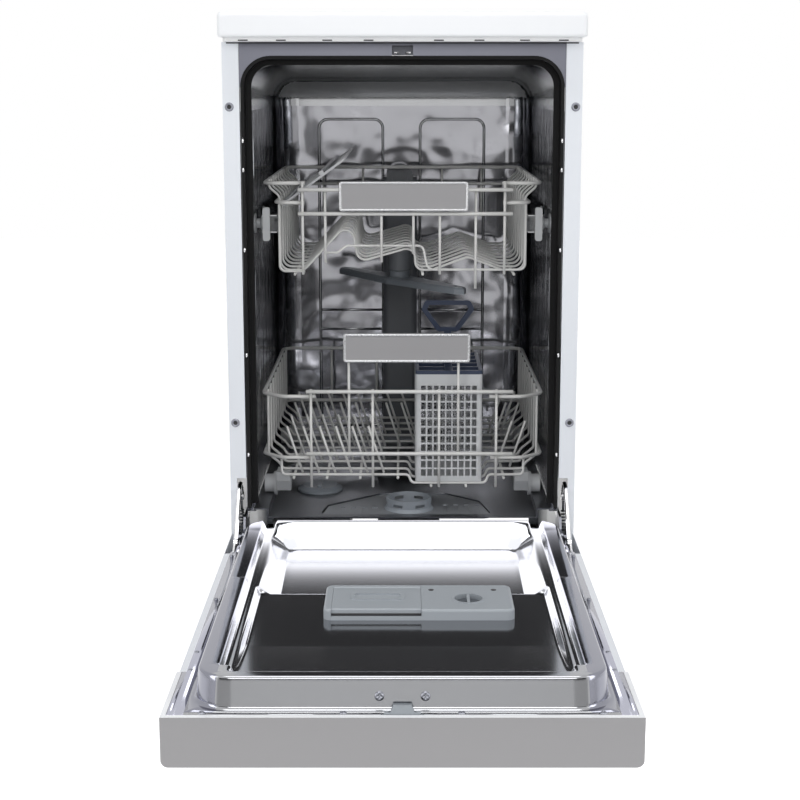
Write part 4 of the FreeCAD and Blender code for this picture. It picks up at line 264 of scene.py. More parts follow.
floor_corners = [(-6, -4, 0), (6, -4, 0), (6, 6, 0), (-6, 6, 0)]
floor = linked("floor", new_mesh("floor", floor_corners, [(0, 1, 2, 3)]))
floor_paint = new_material("floor_paint")
tree = floor_paint.node_tree
paint = tree.nodes["Principled BSDF"]
paint.inputs["Base Color"].default_value = (0.85, 0.85, 0.85, 1)
paint.inputs["Roughness"].default_value = 0.9
paint.inputs["Emission Color"].default_value = WHITE
glow = tree.nodes.new("ShaderNodeMapRange")
glow.inputs["To Max"].default_value = FLOOR_GLOW
tree.links.new(seen_mask(tree), glow.inputs["Value"])
tree.links.new(glow.outputs["Result"], paint.inputs["Emission Strength"])
floor.data.materials.append(floor_paint)
print("world:", world.name, "floor:", floor_paint.name)

# %% [markdown]
# Four soft boxes shape the machine: one above the open door, one at each side and one over the camera.

# %% Lamps


def area_lamp(name, spot, target, size, power):
    """Soft box that looks at a point."""
    lamp = linked(name, bpy.data.lights.new(name, "AREA"))
    lamp.data.shape = "RECTANGLE"
    lamp.data.size, lamp.data.size_y = size
    lamp.data.energy = power
    at, to = place(spot), place(target)
    facing = unit(at - to)
    lamp.location = at
    lamp.rotation_euler = (math.acos(facing[2]), 0, math.atan2(facing[0], -facing[1]))
    return lamp


lamps = [area_lamp("top_box", (0, -450, 2400), (0, -300, 300), (1.5, 1.0), 13),
         area_lamp("left_box", (-1900, -1300, 1100), (0, 0, 450), (0.7, 1.5), 11),
         area_lamp("right_box", (1900, -1300, 1100), (0, 0, 450), (0.7, 1.5), 11),
         area_lamp("front_box", (0, -2600, 1250), (0, 200, 450), (1.4, 0.7), 11)]
print("lamps:", [(lamp.name, lamp.data.energy) for lamp in lamps])

# %% [markdown]
# Polished steel has hardly a colour of its own: it shows the room. Dark paper runs along the floor and up behind
# the camera, and a grey and a pale card stand in front of it. Only mirrors see them. So the tub's side walls go
# dark, its back wall mirrors the pale card, and pressed edges catch the light boxes.

# %% Cards for the mirrors


def mirror_card(name, half, profile, shade, glow):
    """Sheet across the studio from a profile of (depth, height) in metres, seen only in reflections."""
    points = [(x, y, z) for y, z in profile for x in (-half, half)]
    faces = [(2 * k, 2 * k + 1, 2 * k + 3, 2 * k + 2) for k in range(len(profile) - 1)]
    card = linked(name, new_mesh(name, points, faces))
    paper = new_material(name)
    sheet = paper.node_tree.nodes["Principled BSDF"]
    sheet.inputs["Base Color"].default_value = (shade, shade, shade, 1)
    sheet.inputs["Roughness"].default_value = 1.0
    sheet.inputs["Emission Color"].default_value = WHITE
    sheet.inputs["Emission Strength"].default_value = glow
    card.data.materials.append(paper)
    card.visible_camera = card.visible_diffuse = card.visible_shadow = False
    return card


cards = [mirror_card("dark_paper", 3.0, [(-0.95, 0.004), (-3.4, 0.004), (-3.4, 1.75)], 0.03, 0.0),
         mirror_card("grey_card", 3.2, [(-3.2, 0.02), (-3.2, 0.85)], 0.3, 0.46),
         mirror_card("pale_card", 0.5, [(-3.0, 0.02), (-3.0, 0.85)], 0.8, 0.42)]
print("cards:", [card.name for card in cards])

# %% [markdown]
# The liner of the open door is a mirror too, and it looks into the tub. A screen that only mirrors see, and only
# from the door's side, hangs in the mouth: bright at its foot and dark above, so that the bowl runs from white to
# grey and the table beside it stays dark, without the baskets showing in it. A bright flap over the bowl's far wall
# lights the crease, and two upright wings light the bowl's sides. Each sheet is clear from behind: the flap is
# tilted so that only steep reflections meet its front, and the floor of the bowl does not see the wings.

# %% Screen in the mouth
MOUTH_SHADES = [(203, 2.6), (223, 2.5), (231, 2.2), (239, 0.95), (247, 0.46), (256, 0.24), (272, 0.05), (700, 0.06)]
FLAP_SHADES = [(200, 5.0), (300, 5.0)]
WING_SHADES = [(190, 2.4), (300, 2.4)]
COOL = 1.04


def glow_sheet(name, corners, shades):
    """Sheet whose glow follows a table of (height in mm, level) on its front, and clear from behind."""
    low, high = shades[0][0], shades[-1][0]
    screen = linked(name, new_mesh(name, place(corners).tolist(), [(0, 1, 2, 3)]))
    paper = new_material(name)
    tree = paper.node_tree
    tree.nodes.remove(tree.nodes["Principled BSDF"])
    spot = tree.nodes.new("ShaderNodeTexCoord")
    split = tree.nodes.new("ShaderNodeSeparateXYZ")
    share = tree.nodes.new("ShaderNodeMapRange")
    share.inputs["From Min"].default_value = low / 1000
    share.inputs["From Max"].default_value = high / 1000
    ramp = tree.nodes.new("ShaderNodeValToRGB")
    stops = ramp.color_ramp.elements
    for count, (height, level) in enumerate(shades):
        stop = stops[count] if count < 2 else stops.new(1.0)
        stop.position = (height - low) / (high - low)
        stop.color = (level, level, COOL * level, 1)
    light = tree.nodes.new("ShaderNodeEmission")
    clear = tree.nodes.new("ShaderNodeBsdfTransparent")
    side = tree.nodes.new("ShaderNodeNewGeometry")
    either = tree.nodes.new("ShaderNodeMixShader")
    tree.links.new(spot.outputs["Object"], split.inputs["Vector"])
    tree.links.new(split.outputs["Z"], share.inputs["Value"])
    tree.links.new(share.outputs["Result"], ramp.inputs["Fac"])
    tree.links.new(ramp.outputs["Color"], light.inputs["Color"])
    tree.links.new(side.outputs["Backfacing"], either.inputs["Fac"])
    tree.links.new(light.outputs["Emission"], either.inputs[1])
    tree.links.new(clear.outputs["BSDF"], either.inputs[2])
    tree.links.new(either.outputs["Shader"], tree.nodes["Material Output"].inputs["Surface"])
    screen.data.materials.append(paper)
    screen.visible_camera = screen.visible_diffuse = screen.visible_shadow = False
    return screen


mouth = [(-198, -34, 203), (198, -34, 203), (198, -34, 700), (-198, -34, 700)]
flap = [(-138, -35, 272), (138, -35, 272), (138, -84, 247), (-138, -84, 247)]
left_wing = [(-125, -290, 195), (-125, -290, 266), (-125, -70, 266), (-125, -70, 195)]
right_wing = [(125, -290, 195), (125, -70, 195), (125, -70, 266), (125, -290, 266)]
screens = [glow_sheet("mouth_screen", mouth, MOUTH_SHADES), glow_sheet("bowl_flap", flap, FLAP_SHADES),
           glow_sheet("left_wing", left_wing, WING_SHADES), glow_sheet("right_wing", right_wing, WING_SHADES)]
print("screens:", [screen.name for screen in screens])

# %% [markdown]
# Three effects are shared by the finishes. Grain is the faint unevenness of moulded plastic and enamel. Rolling
# gives sheet steel its long faint streaks, stretched along one axis. Drawing is the longer wave of a deep-drawn
# wall.

# %% Shared shader effects


def effect(name, numbers):
    """Empty node group with number inputs and a Height and a Roughness output."""
    group = bpy.data.node_groups.new(name, "ShaderNodeTree")
    for label, value in numbers.items():
        socket = group.interface.new_socket(label, in_out="INPUT", socket_type="NodeSocketFloat")
        socket.default_value = value
    for label in ("Height", "Roughness"):
        group.interface.new_socket(label, in_out="OUTPUT", socket_type="NodeSocketFloat")
    return group, group.nodes.new("NodeGroupInput"), group.nodes.new("NodeGroupOutput")


def noise_effect(name, stretch, detail):
    """Noise over the object's own space; Roughness runs from the low to the high value given."""
    group, inlet, outlet = effect(name, {"Scale": 400.0, "Low": 0.3, "High": 0.4})
    spot = group.nodes.new("ShaderNodeTexCoord")
    turn = group.nodes.new("ShaderNodeMapping")
    turn.inputs["Scale"].default_value = stretch
    noise = group.nodes.new("ShaderNodeTexNoise")
    noise.inputs["Detail"].default_value = detail
    spread = group.nodes.new("ShaderNodeMapRange")
    group.links.new(spot.outputs["Object"], turn.inputs["Vector"])
    group.links.new(turn.outputs["Vector"], noise.inputs["Vector"])
    group.links.new(inlet.outputs["Scale"], noise.inputs["Scale"])
    group.links.new(noise.outputs["Fac"], spread.inputs["Value"])
    group.links.new(inlet.outputs["Low"], spread.inputs["To Min"])
    group.links.new(inlet.outputs["High"], spread.inputs["To Max"])
    group.links.new(spread.outputs["Result"], outlet.inputs["Roughness"])
    group.links.new(noise.outputs["Fac"], outlet.inputs["Height"])
    return group


grain = noise_effect("moulded_grain", (1, 1, 1), 2.0)
rolling = noise_effect("rolled_streaks", (1, 1, 0.04), 3.0)
drawing = noise_effect("drawn_waves", (1, 1, 0.05), 2.0)
print("effects:", grain.name, rolling.name, drawing.name)

# %% [markdown]
# A finish is a colour, a metal share, a low and a high roughness, an effect with its scale and its depth in metres,
# and for two of them a coat or a duller shine. Colours are written as they look in even light.

# %% Finishes


def linear(red, green, blue):
    """Screen colour of 0 to 255 as linear light."""
    screen = np.array([red, green, blue]) / 255.0
    light = np.where(screen <= 0.04045, screen / 12.92, ((screen + 0.055) / 1.055) ** 2.4)
    return (*light.tolist(), 1.0)


def finish(name, colour, metal, low, high, group, scale, depth, coat=0.0, shine=0.5):
    """Material with a shared effect on its roughness and its relief."""
    made = new_material(name)
    tree = made.node_tree
    surface = tree.nodes["Principled BSDF"]
    surface.inputs["Base Color"].default_value = linear(*colour)
    surface.inputs["Metallic"].default_value = metal
    surface.inputs["Coat Weight"].default_value = coat
    surface.inputs["Specular IOR Level"].default_value = shine
    uneven = tree.nodes.new("ShaderNodeGroup")
    uneven.node_tree = group
    uneven.inputs["Scale"].default_value = scale
    uneven.inputs["Low"].default_value = low
    uneven.inputs["High"].default_value = high
    bump = tree.nodes.new("ShaderNodeBump")
    bump.inputs["Strength"].default_value = 0.25
    bump.inputs["Distance"].default_value = depth
    tree.links.new(uneven.outputs["Roughness"], surface.inputs["Roughness"])
    tree.links.new(uneven.outputs["Height"], bump.inputs["Height"])
    tree.links.new(bump.outputs["Normal"], surface.inputs["Normal"])
    return made


PALETTE = {
    "white_enamel": ((238, 242, 248), 0, 0.27, 0.29, grain, 120, 0.000002, 0.2),
    "worktop_laminate": ((249, 251, 254), 0, 0.31, 0.34, grain, 700, 0.000002),
    "white_plastic": ((232, 233, 234), 0, 0.4, 0.5, grain, 900, 0.00006),
    "silver_plastic": ((170, 169, 171), 0, 0.38, 0.46, grain, 1200, 0.00002),
    "stainless": ((186, 187, 189), 1, 0.1, 0.17, rolling, 500, 0.00003),
    "zinc_steel": ((150, 152, 160), 1, 0.3, 0.4, rolling, 300, 0.00004),
    "chromed_rod": ((225, 225, 226), 1, 0.1, 0.16, grain, 500, 0.00002),
    "black_rubber": ((13, 13, 14), 0, 0.5, 0.6, grain, 1500, 0.00005, 0.0, 0.25),
    "black_plastic": ((40, 40, 42), 0, 0.45, 0.55, grain, 1200, 0.00006),
    "dark_grey_plastic": ((112, 115, 120), 0, 0.38, 0.48, grain, 1200, 0.00004),
    "grey_plastic": ((128, 134, 141), 0, 0.36, 0.46, grain, 1200, 0.00004),
    "light_grey_plastic": ((192, 194, 196), 0, 0.36, 0.46, grain, 1200, 0.00003),
    "coated_wire": ((218, 218, 216), 0, 0.3, 0.38, grain, 1500, 0.00003),
    "navy_plastic": ((46, 56, 78), 0, 0.34, 0.42, grain, 1200, 0.00005),
    "circuit_board": ((45, 110, 70), 0, 0.4, 0.5, grain, 900, 0.00005),
}
finishes = {name: finish(name, *values) for name, values in PALETTE.items()}
for part in frame["record"]["subparts"]:
    mesh = frame["nodes"][part["node"]].data
    mesh.materials.clear()
    mesh.materials.append(finishes[part["material_slot"]])
print("finishes:", len(finishes))

# %% [markdown]
# The tub's walls are drawn deep from one sheet, which leaves waves in them. The side walls have long upright waves
# that break what they mirror into streaks, and the back wall has broad soft ones. The tub's floor is duller, and
# the cove between the ceiling and the back wall is painted a paler, less metal steel: a painted highlight band.

# %% Steel of the tub
COVE_FORWARD, COVE_DOWN = 0.5, 0.15


def face_facts(mesh):
    """Normals of all faces, and their middles in metres."""
    normals, middles = np.empty((2, 3 * len(mesh.polygons)))
    mesh.polygons.foreach_get("normal", normals)
    mesh.polygons.foreach_get("center", middles)
    return normals.reshape(-1, 3), middles.reshape(-1, 3)


def repaint(node, paint, chosen=None):
    """Other finish for a whole piece, or for the faces chosen by their normals and their middles."""
    mesh = frame["nodes"][node].data
    if chosen is None:
        mesh.materials[0] = paint
        return
    mesh.materials.append(paint)
    mesh.polygons.foreach_set("material_index", chosen(*face_facts(mesh)).astype(np.int32))


drawn_steel = finish("drawn_steel", (122, 124, 127), 1, 0.08, 0.14, drawing, 150, 0.005)
wavy_steel = finish("wavy_steel", (176, 176, 181), 1, 0.1, 0.13, grain, 9, 0.03)
dull_steel = finish("dull_steel", (118, 120, 124), 1, 0.3, 0.38, grain, 300, 0.00001)
cove_highlight_steel = finish("cove_highlight_steel", (226, 227, 229), 0.35, 0.3, 0.36, grain, 600, 0.00001)
repaint("tub_left_wall", drawn_steel)
repaint("tub_right_wall", drawn_steel)
repaint("tub_back_wall", wavy_steel)
repaint("tub_floor", dull_steel)
# The faces that look forward and down get a paler, less metal steel: a painted highlight along the cove.
repaint("tub_ceiling", cove_highlight_steel, lambda way, spot: (way[:, 1] < -COVE_FORWARD) & (way[:, 2] < -COVE_DOWN))
print("tub:", drawn_steel.name, wavy_steel.name, dull_steel.name, cove_highlight_steel.name)

# %% [markdown]
# A few more pieces differ from the rest of their finish. The dispenser and the lock are a paler grey, and the recess
# of the rinse-aid cap is painted darker as its shade. The latch is dark with bright hooks, and the band over the
# mouth is dull. The console is one silver moulding whose upward faces are painted white as a highlight of the light
# from above, as bright as the door's painted edge beside it.

# %% Single shades
HOOK_FRONT, RECESS_TOP, UPWARD = 0.0592, 0.2085, 0.5

pale_grey = finish("pale_grey_plastic", (166, 172, 178), 0, 0.36, 0.44, grain, 1200, 0.00002)
recess_shade_grey = finish("recess_shade_grey", (92, 97, 103), 0, 0.4, 0.5, grain, 900, 0.00001)
# This dark steel is the latch's own, and on the liner's far lip it is a painted reflection of the dark tub.
dark_steel_and_lip_reflection = finish("dark_steel_and_lip_reflection", (84, 85, 90), 1, 0.3, 0.4, grain, 600, 0.00001)
for node in ("dispenser_body", "detergent_lid", "rinse_aid_cap", "door_lock"):
    repaint(node, pale_grey)
# The recess of the rinse-aid cap is painted a darker grey as its shade.
repaint("rinse_aid_cap", recess_shade_grey, lambda way, spot: spot[:, 2] < RECESS_TOP)
repaint("latch_catch", dark_steel_and_lip_reflection)
repaint("latch_catch", finishes["chromed_rod"], lambda way, spot: spot[:, 1] < HOOK_FRONT)
repaint("front_band", finish("band_steel", (118, 119, 128), 1, 0.34, 0.4, grain, 300, 0.00001))
repaint("upper_spray_arm", finishes["grey_plastic"])
repaint("flat_filter", finish("mesh_grey", (128, 131, 135), 0.3, 0.35, 0.45, grain, 600, 0.00001))
# The console's upward faces are painted white: a painted highlight of the light from above.
repaint("console_housing", finishes["worktop_laminate"], lambda way, spot: way[:, 2] > UPWARD)
print("materials in all:", len(bpy.data.materials))

# %% [markdown]
# The door's liner is pressed from one thin steel sheet: a flat flange, a drafted wall with a round crest, and a
# hollow with a bowl, a deck for the dispenser with a ramp at its near end, and two wheel grooves. A press leaves no
# sharp edge. So the hollow is written as the lowest of four plain forms and then smoothed.

# %% Form of the hollow
CREST, FLANGE, GROOVE = 218.2, 188.0, 207.2
BOWL_FLOOR, BOWL_SLOPE, BOWL_CREASE = 191, 27.2 / 38, 2
BOWL_HALF, BOWL_END, BOWL_CORNER, FAR_STEEPER = 127.4, -105.0, 12, 1.22
DECK_HALF, DECK_NEAR, DECK_FAR = 162, -593, -297
DECK_PLACES, DECK_HEIGHTS = [-594, -584, -470.5, DECK_FAR], [216, 207.5, 199, 199]
GROOVE_INNER, GROOVE_OUTER, GROOVE_NEAR, GROOVE_MOUTH = 160, 174, -574.5, -100
BELL_REACH, BELL_SPREAD = 6, 1.3


def soft_edges(field):
    """Field smoothed along both axes by a bell curve exp(-t^2 / 2s^2)."""
    bell = np.exp(-0.5 * (np.arange(-BELL_REACH, BELL_REACH + 1) / BELL_SPREAD) ** 2)
    for axis in (0, 1):
        margin = [(BELL_REACH, BELL_REACH) if side == axis else (0, 0) for side in (0, 1)]
        padded = np.pad(field, margin, mode="edge")
        field = np.apply_along_axis(np.convolve, axis, padded, bell / bell.sum(), mode="valid")
    return field


def hollow(x, y):
    """z = min(crest, bowl, deck, grooves); the bowl rises outside a rounded rectangle, steeper at its far end."""
    across, along = np.abs(x) - BOWL_HALF, FAR_STEEPER * (y - BOWL_END)
    outside = np.hypot(np.maximum(across, 0), np.maximum(along, 0))
    off = outside + np.minimum(np.maximum(across, along), 0) - BOWL_CORNER
    bowl = BOWL_FLOOR + BOWL_SLOPE * 0.5 * (off + np.hypot(off, BOWL_CREASE))
    bowl = np.where(y > DECK_FAR, bowl, CREST)
    on_deck = (np.abs(x) < DECK_HALF) & (y > DECK_NEAR) & (y <= DECK_FAR)
    deck = np.where(on_deck, np.interp(y, DECK_PLACES, DECK_HEIGHTS), CREST)
    in_groove = (np.abs(x) > GROOVE_INNER) & (np.abs(x) < GROOVE_OUTER) & (y > GROOVE_NEAR)
    return np.minimum(np.minimum(bowl, deck), np.where(in_groove, GROOVE, CREST))


samples = hollow(np.array([0, 0, 167]), np.array([-200, -400, -300]))
print("heights in the bowl, on the deck and in a groove:", samples.round(1))

# %% [markdown]
# The hollow is drawn on a grid whose lines crowd where it bends. The field under the dispenser stays open.

# %% Grid of the hollow
HOLLOW_HALF, HOLLOW_NEAR, HOLLOW_FAR = 177, -596, -60
OPEN_LEFT, OPEN_RIGHT, OPEN_NEAR, OPEN_FAR = -81, 117, -388, -306

half = np.r_[0:100:10, 100:HOLLOW_HALF + 1:2, HOLLOW_HALF]
lines_x = np.unique(np.r_[-half, half, OPEN_LEFT - 3, OPEN_LEFT, OPEN_RIGHT, OPEN_RIGHT + 2])
lines_y = np.unique(np.r_[HOLLOW_NEAR:-560:2, -560:-480:10, -480:-462:3, -462:-305:10, -305:-289:2, -289:-125:8,
                          -125:HOLLOW_FAR:2, HOLLOW_FAR, OPEN_NEAR - 2, OPEN_NEAR, OPEN_FAR])
fine_x, fine_y = np.meshgrid(np.arange(-HOLLOW_HALF, HOLLOW_HALF + 1), np.arange(HOLLOW_NEAR, HOLLOW_FAR + 1))
depth = soft_edges(hollow(fine_x, fine_y))[np.ix_(lines_y - HOLLOW_NEAR, lines_x + HOLLOW_HALF)]
grid_x, grid_y = np.meshgrid(lines_x, lines_y)
hollow_points = np.stack([grid_x, grid_y, depth], -1).reshape(-1, 3)
quads = grid_faces(*grid_x.shape, False)[:, ::-1]
middle_x, middle_y = hollow_points[quads].mean(1)[:, :2].T
under = (middle_x > OPEN_LEFT) & (middle_x < OPEN_RIGHT) & (middle_y > OPEN_NEAR) & (middle_y < OPEN_FAR)
quads = quads[~under]
print("hollow:", len(quads), "faces")

# %% [markdown]
# The wall round the hollow is a stack of loops, each a rounded rectangle: over the round crest, down the drafted
# wall, through the round foot and out over the flange. Level strips widen the flange to its notched outline.

# %% Liner sheet
CREST_ROUND, FOOT_ROUND = 3, 4
STRIPS = ((203, 214, -628.2, -96), (-214, -203, -628.2, -96), (203, 208, -96, -22), (-208, -203, -96, -22),
          (-203, -19, -628.2, -622.4), (19, 203, -628.2, -622.4), (214, 218.6, -628.2, -516),
          (-218.6, -214, -628.2, -516))


def rounded_ring(x, y, half, near, far, radius, z):
    """Border carried out to a rounded rectangle: q = c + r (p - c) / |p - c|, where c is the nearest core point."""
    at_far = (y == y.max()) & (np.abs(x) < x.max())
    px = np.where(at_far, x, x / x.max() * half)
    py = near + (y - y.min()) / (y.max() - y.min()) * (far - near)
    cx, cy = np.clip(px, radius - half, half - radius), np.clip(py, near + radius, far - radius)
    stretch = radius / np.hypot(px - cx, py - cy)
    qx, qy = cx + (px - cx) * stretch, cy + (py - cy) * stretch
    inside = np.minimum(np.abs(qx) - GROOVE_INNER, GROOVE_OUTER - np.abs(qx)) + 1
    in_groove = np.clip(inside, 0, 1) * (qy > GROOVE_MOUTH)
    return np.stack([qx, qy, np.minimum(z, z + (GROOVE - z) * in_groove)], 1)


def loop(half, near, far, radius, out, z):
    """Measures of a loop that has grown outward."""
    return half + out, near - out, far + out, radius + out, z


def flat_strip(x0, x1, y0, y1):
    """Level strip of the flange."""
    return np.array([(x0, y0, FLANGE), (x1, y0, FLANGE), (x1, y1, FLANGE), (x0, y1, FLANGE)]), [[0, 1, 2, 3]]


turns = np.radians([0, 15, 30, 45, 60, 75])
stack = [loop(191.2, -606.2, -56.8, 31, CREST_ROUND * math.sin(a), CREST - CREST_ROUND * (1 - math.cos(a)))
         for a in turns]
stack += [loop(194, -608.5 - 6 * t, -54, 34, 2 * t, CREST + (FLANGE - CREST) * t) for t in (0.2, 0.5, 0.8, 0.867)]
stack += [loop(195.8, -615.5, -52.2, 36, FOOT_ROUND * (1 - math.cos(a)), FLANGE + FOOT_ROUND * (1 - math.sin(a)))
          for a in turns[1:]]
stack += [(200, -619.5, -48, 40, FLANGE), (203, -622.4, -3.5, 3, FLANGE)]
index = np.arange(len(hollow_points)).reshape(grid_x.shape)
border = np.r_[index[0], index[1:, -1], index[-1, -2::-1], index[-2:0:-1, 0]]
edge_x, edge_y = hollow_points[border, 0], hollow_points[border, 1]
points, inner = [hollow_points], border
for row in stack:
    outer = np.arange(len(border)) + sum(len(part) for part in points)
    points.append(rounded_ring(edge_x, edge_y, *row))
    quads = np.vstack([quads, np.stack([inner, outer, np.roll(outer, -1), np.roll(inner, -1)], 1)])
    inner = outer
pressed = [(np.vstack(points), quads.tolist())] + [flat_strip(*edges) for edges in STRIPS]
liner = piece("pressed_liner", pressed, "door", "stainless", ["door_inner_liner"])
sheet = liner.modifiers.new("sheet", "SOLIDIFY")
sheet.thickness, sheet.offset = 0.0008, -1.0

# %% [markdown]
# The sheet is one polished steel, and reflections are painted into it: the lip at the far end is painted dark as the
# mirrored tub, the crests at the sides are painted darker than the bowl and the flange paler, as the reflections they
# show.

# %% Shades of the liner
FLANGE_START, CREST_START = 0.203, 0.1745
FAR_LIP = place((0, -60.5, 0))[1]
POLISH = (1, 0.12, 0.13, grain, 90, 0.0000005)

# Darker, paler and dark copies of the one steel: painted reflections on the crests, the flange and the far lip.
liner.data.materials[0] = finish("pressed_steel", (167, 168, 171), *POLISH)
crest_reflection_steel = finish("crest_reflection_steel", (142, 143, 153), *POLISH)
flange_reflection_steel = finish("flange_reflection_steel", (184, 185, 197), *POLISH)
for paint in (dark_steel_and_lip_reflection, crest_reflection_steel, flange_reflection_steel):
    liner.data.materials.append(paint)
middles = face_facts(liner.data)[1]
sideways = np.abs(middles[:, 0])
shade = np.where(sideways > FLANGE_START, 3, np.where(sideways > CREST_START, 2, middles[:, 1] > FAR_LIP))
liner.data.polygons.foreach_set("material_index", shade.astype(np.int32))
print("faces of each shade:", np.bincount(shade).tolist())

# %% [markdown]
# The baskets are welded from round wire. Each wire is a circle carried along its bent route, in place of the
# six-sided bars of the measured model, and ends where they end. So where wires cross, they stand apart by the
# half breadth of a six-sided bar over its points.

# %% Wire sizes
WIRE, BAR, FINE = 3.6, 5.0, 3.2
FINE_POINT, WIRE_POINT = [thick / 2 / math.cos(math.pi / 6) for thick in (FINE, WIRE)]
BASKET_FRONT, BASKET_REAR, CORNER = 45.0, 446.0, 18.0
LOOP_FRONT = BASKET_FRONT + WIRE / 2 + BAR / 2
BAR_FRONT = BASKET_FRONT - WIRE / 2 - BAR / 2
REAR_STAND = BASKET_REAR + BAR / 2 + WIRE / 2


def bar(start, end, thick, normal):
    """Straight wire."""
    return tube([start, np.add(start, end) / 2, end], thick / 2, normal)


def upright(x, y, low, high):
    """Straight standing wire."""
    return bar((x, y, low), (x, y, high), WIRE, ALONG_Y)


def runner(x, rear, z):
    """Straight wire from the front loop to the rear."""
    return bar((x, LOOP_FRONT, z), (x, rear, z), WIRE, ALONG_Z)


def front_route(outline, y):
    """Points of an outline seen from the front, at one depth."""
    return [(x, y, z) for x, z in outline]


def mirrored(outline):
    """Outline of the other side, run through backwards."""
    return [(-x, z) for x, z in reversed(outline)]


def round_loop(corners):
    """Level wire loop with round corners."""
    return tube(rounded_route(corners, CORNER, 10), BAR / 2, ALONG_Z)


print("loops start", round(LOOP_FRONT, 2), "mm behind the front plane")

# %% [markdown]
# The cross wires of the upper basket hang from the rim in a wave that holds cups. The first two are short and hang
# from the second loop.

# %% Upper basket
UPPER_RIM, UPPER_LOOP, UPPER_FLOOR = 635.0, 610.0, 521.5
RIM_HALF, LOOP_HALF = 177.0, 163.0
UPPER_UPRIGHTS = ((-128, 518.3, 637.5), (-99, 533, 629.5), (-27, 534, 629.5), (14, 545, 629.5), (48, 518.3, 629.5),
                  (94, 500, 629.5), (131, 518.3, 637.5))

wall = LOOP_HALF - BAR / 2 - FINE_POINT
rim = RIM_HALF - BAR / 2 - FINE_POINT
under_loop = UPPER_LOOP - BAR / 2
left = [(-rim, 638), (-rim, 629), (-wall, 617), (-wall, UPPER_FLOOR)]
wave = left + [(-128, UPPER_FLOOR), (-66, 587.5), (-58, 531.5), (16, 552.5), (17, UPPER_FLOOR), (38, UPPER_FLOOR),
               (85, 538.5), (130, UPPER_FLOOR)] + mirrored(left)
first_left = [(-wall, under_loop), (-wall, UPPER_FLOOR), (-126, UPPER_FLOOR)]
first_right = [(-101, 545.5), (-84, 545.5), (-72, 554.5), (26, 554.5), (32, 527.5), (38, 523.5), (wall, 523.5),
               (wall, under_loop)]
first_depth = LOOP_FRONT + BAR / 2 + FINE / 2
depths = np.linspace(LOOP_FRONT + CORNER + 2, BASKET_REAR - CORNER - 2, 10)
routes = [rounded_route(front_route(outline, first_depth), 8) for outline in (first_left, first_right)]
routes += [rounded_route(front_route(wave, y), 12) for y in depths]
cross_wires = [tube(route, FINE / 2, ALONG_Y) for route in routes]
piece("upper_cross_wires", cross_wires, "upper_basket", "coated_wire", ["upper_basket_wires"])


def level_loop(half, z, left, right):
    """Wire round the basket at one height, open at the front."""
    y0, y1 = LOOP_FRONT, BASKET_REAR
    return round_loop([(-left, y0, z), (-half, y0, z), (-half, y1, z), (half, y1, z), (half, y0, z), (right, y0, z)])


frame_wires = [level_loop(RIM_HALF, UPPER_RIM, 125, 128), level_loop(LOOP_HALF, UPPER_LOOP, 126, 129)]
frame_wires += [bar((-133.5, BAR_FRONT, z), (141, BAR_FRONT, z), BAR, ALONG_Z) for z in (627.0, 596.5)]
frame_wires += [upright(x, BASKET_FRONT, low, high) for x, low, high in UPPER_UPRIGHTS]
frame_wires += [runner(x, BASKET_REAR, UPPER_FLOOR - FINE_POINT - WIRE / 2) for x in (-139, 26, 144)]
frame_wires += [upright(x, REAR_STAND, 560, 637.5) for x in (-120, -60, 60, 120)]
piece("upper_frame_wires", frame_wires, "upper_basket", "coated_wire", ["upper_basket_frame"])

# %% [markdown]
# The lower basket has a plain floor of cross wires with leaning plate tines. Near the front its floor dips under the
# cutlery basket, and no tines stand there.

# %% Floor of the lower basket
LOWER_RIM, LOWER_LOOP, LOWER_FLOOR = 357.0, 275.0, 251.0
LOWER_HALF, FLOOR_HALF, CUT = 184.0, 160.0, 26.0
DIP_FLOOR, DIP_END, DIP_LEFT = 242.0 - WIRE_POINT, 205.1, -4.5
LEAN, TINE = math.radians(18), 66.0

side = LOWER_HALF - BAR / 2 - WIRE_POINT
left = [(-side, 360), (-side, 271), (-FLOOR_HALF - 6, 260), (-FLOOR_HALF, LOWER_FLOOR)]
dip = [(8, LOWER_FLOOR), (12, DIP_FLOOR), (110, DIP_FLOOR), (114, LOWER_FLOOR)]
plain, dipped = left + mirrored(left), left + dip + mirrored(left)
end = [(-FLOOR_HALF, LOWER_LOOP - BAR / 2), (-FLOOR_HALF, LOWER_FLOOR)]
rows = np.r_[LOOP_FRONT + BAR / 2 + WIRE / 2, np.linspace(LOOP_FRONT + CUT + 12, BASKET_REAR - CORNER - 2, 9)]
outlines = [end + dip + mirrored(end)] + [dipped if y < DIP_END else plain for y in rows[1:]]
routes = [rounded_route(front_route(outline, y), 6, 5) for outline, y in zip(outlines, rows)]
floor_wires = [tube(route, WIRE / 2, ALONG_Y) for route in routes]


def tine(x, y, way):
    """Plate tine that leans to one side."""
    base = LOWER_FLOOR + WIRE_POINT + FINE_POINT * math.sin(LEAN)
    tip = (x + way * TINE * math.sin(LEAN), y, base + TINE * math.cos(LEAN))
    return bar((x, y, base), tip, FINE, ALONG_Y)


feet = [(-132 + 21.5 * k, y) for y in rows[0::2][:4] for k in range(8)]
floor_wires += [tine(x, y, -1) for x, y in feet if y >= DIP_END or x <= DIP_LEFT]
floor_wires += [tine(x, rows[k], 1) for k in (1, 4, 6) for x in (126, 144)]
piece("lower_cross_wires", floor_wires, "lower_basket", "coated_wire", ["lower_basket_wires"])

# %% Frame of the lower basket
DIP_RUN = 201.5
LOWER_UPRIGHTS = ((-120, 236, 367.5), (-70, 278, 438), (-39, 236, 367.5), (48, 236, 367.5), (73, 278, 438),
                  (123, 236, 367.5))


def cut_loop(z, reach):
    """Wire round the basket with cut front corners, open at the front."""
    y0, y1, half = LOOP_FRONT, BASKET_REAR, LOWER_HALF
    return round_loop([(-reach, y0, z), (-half + CUT, y0, z), (-half, y0 + CUT, z), (-half, y1, z), (half, y1, z),
                       (half, y0 + CUT, z), (half - CUT, y0, z), (reach, y0, z)])


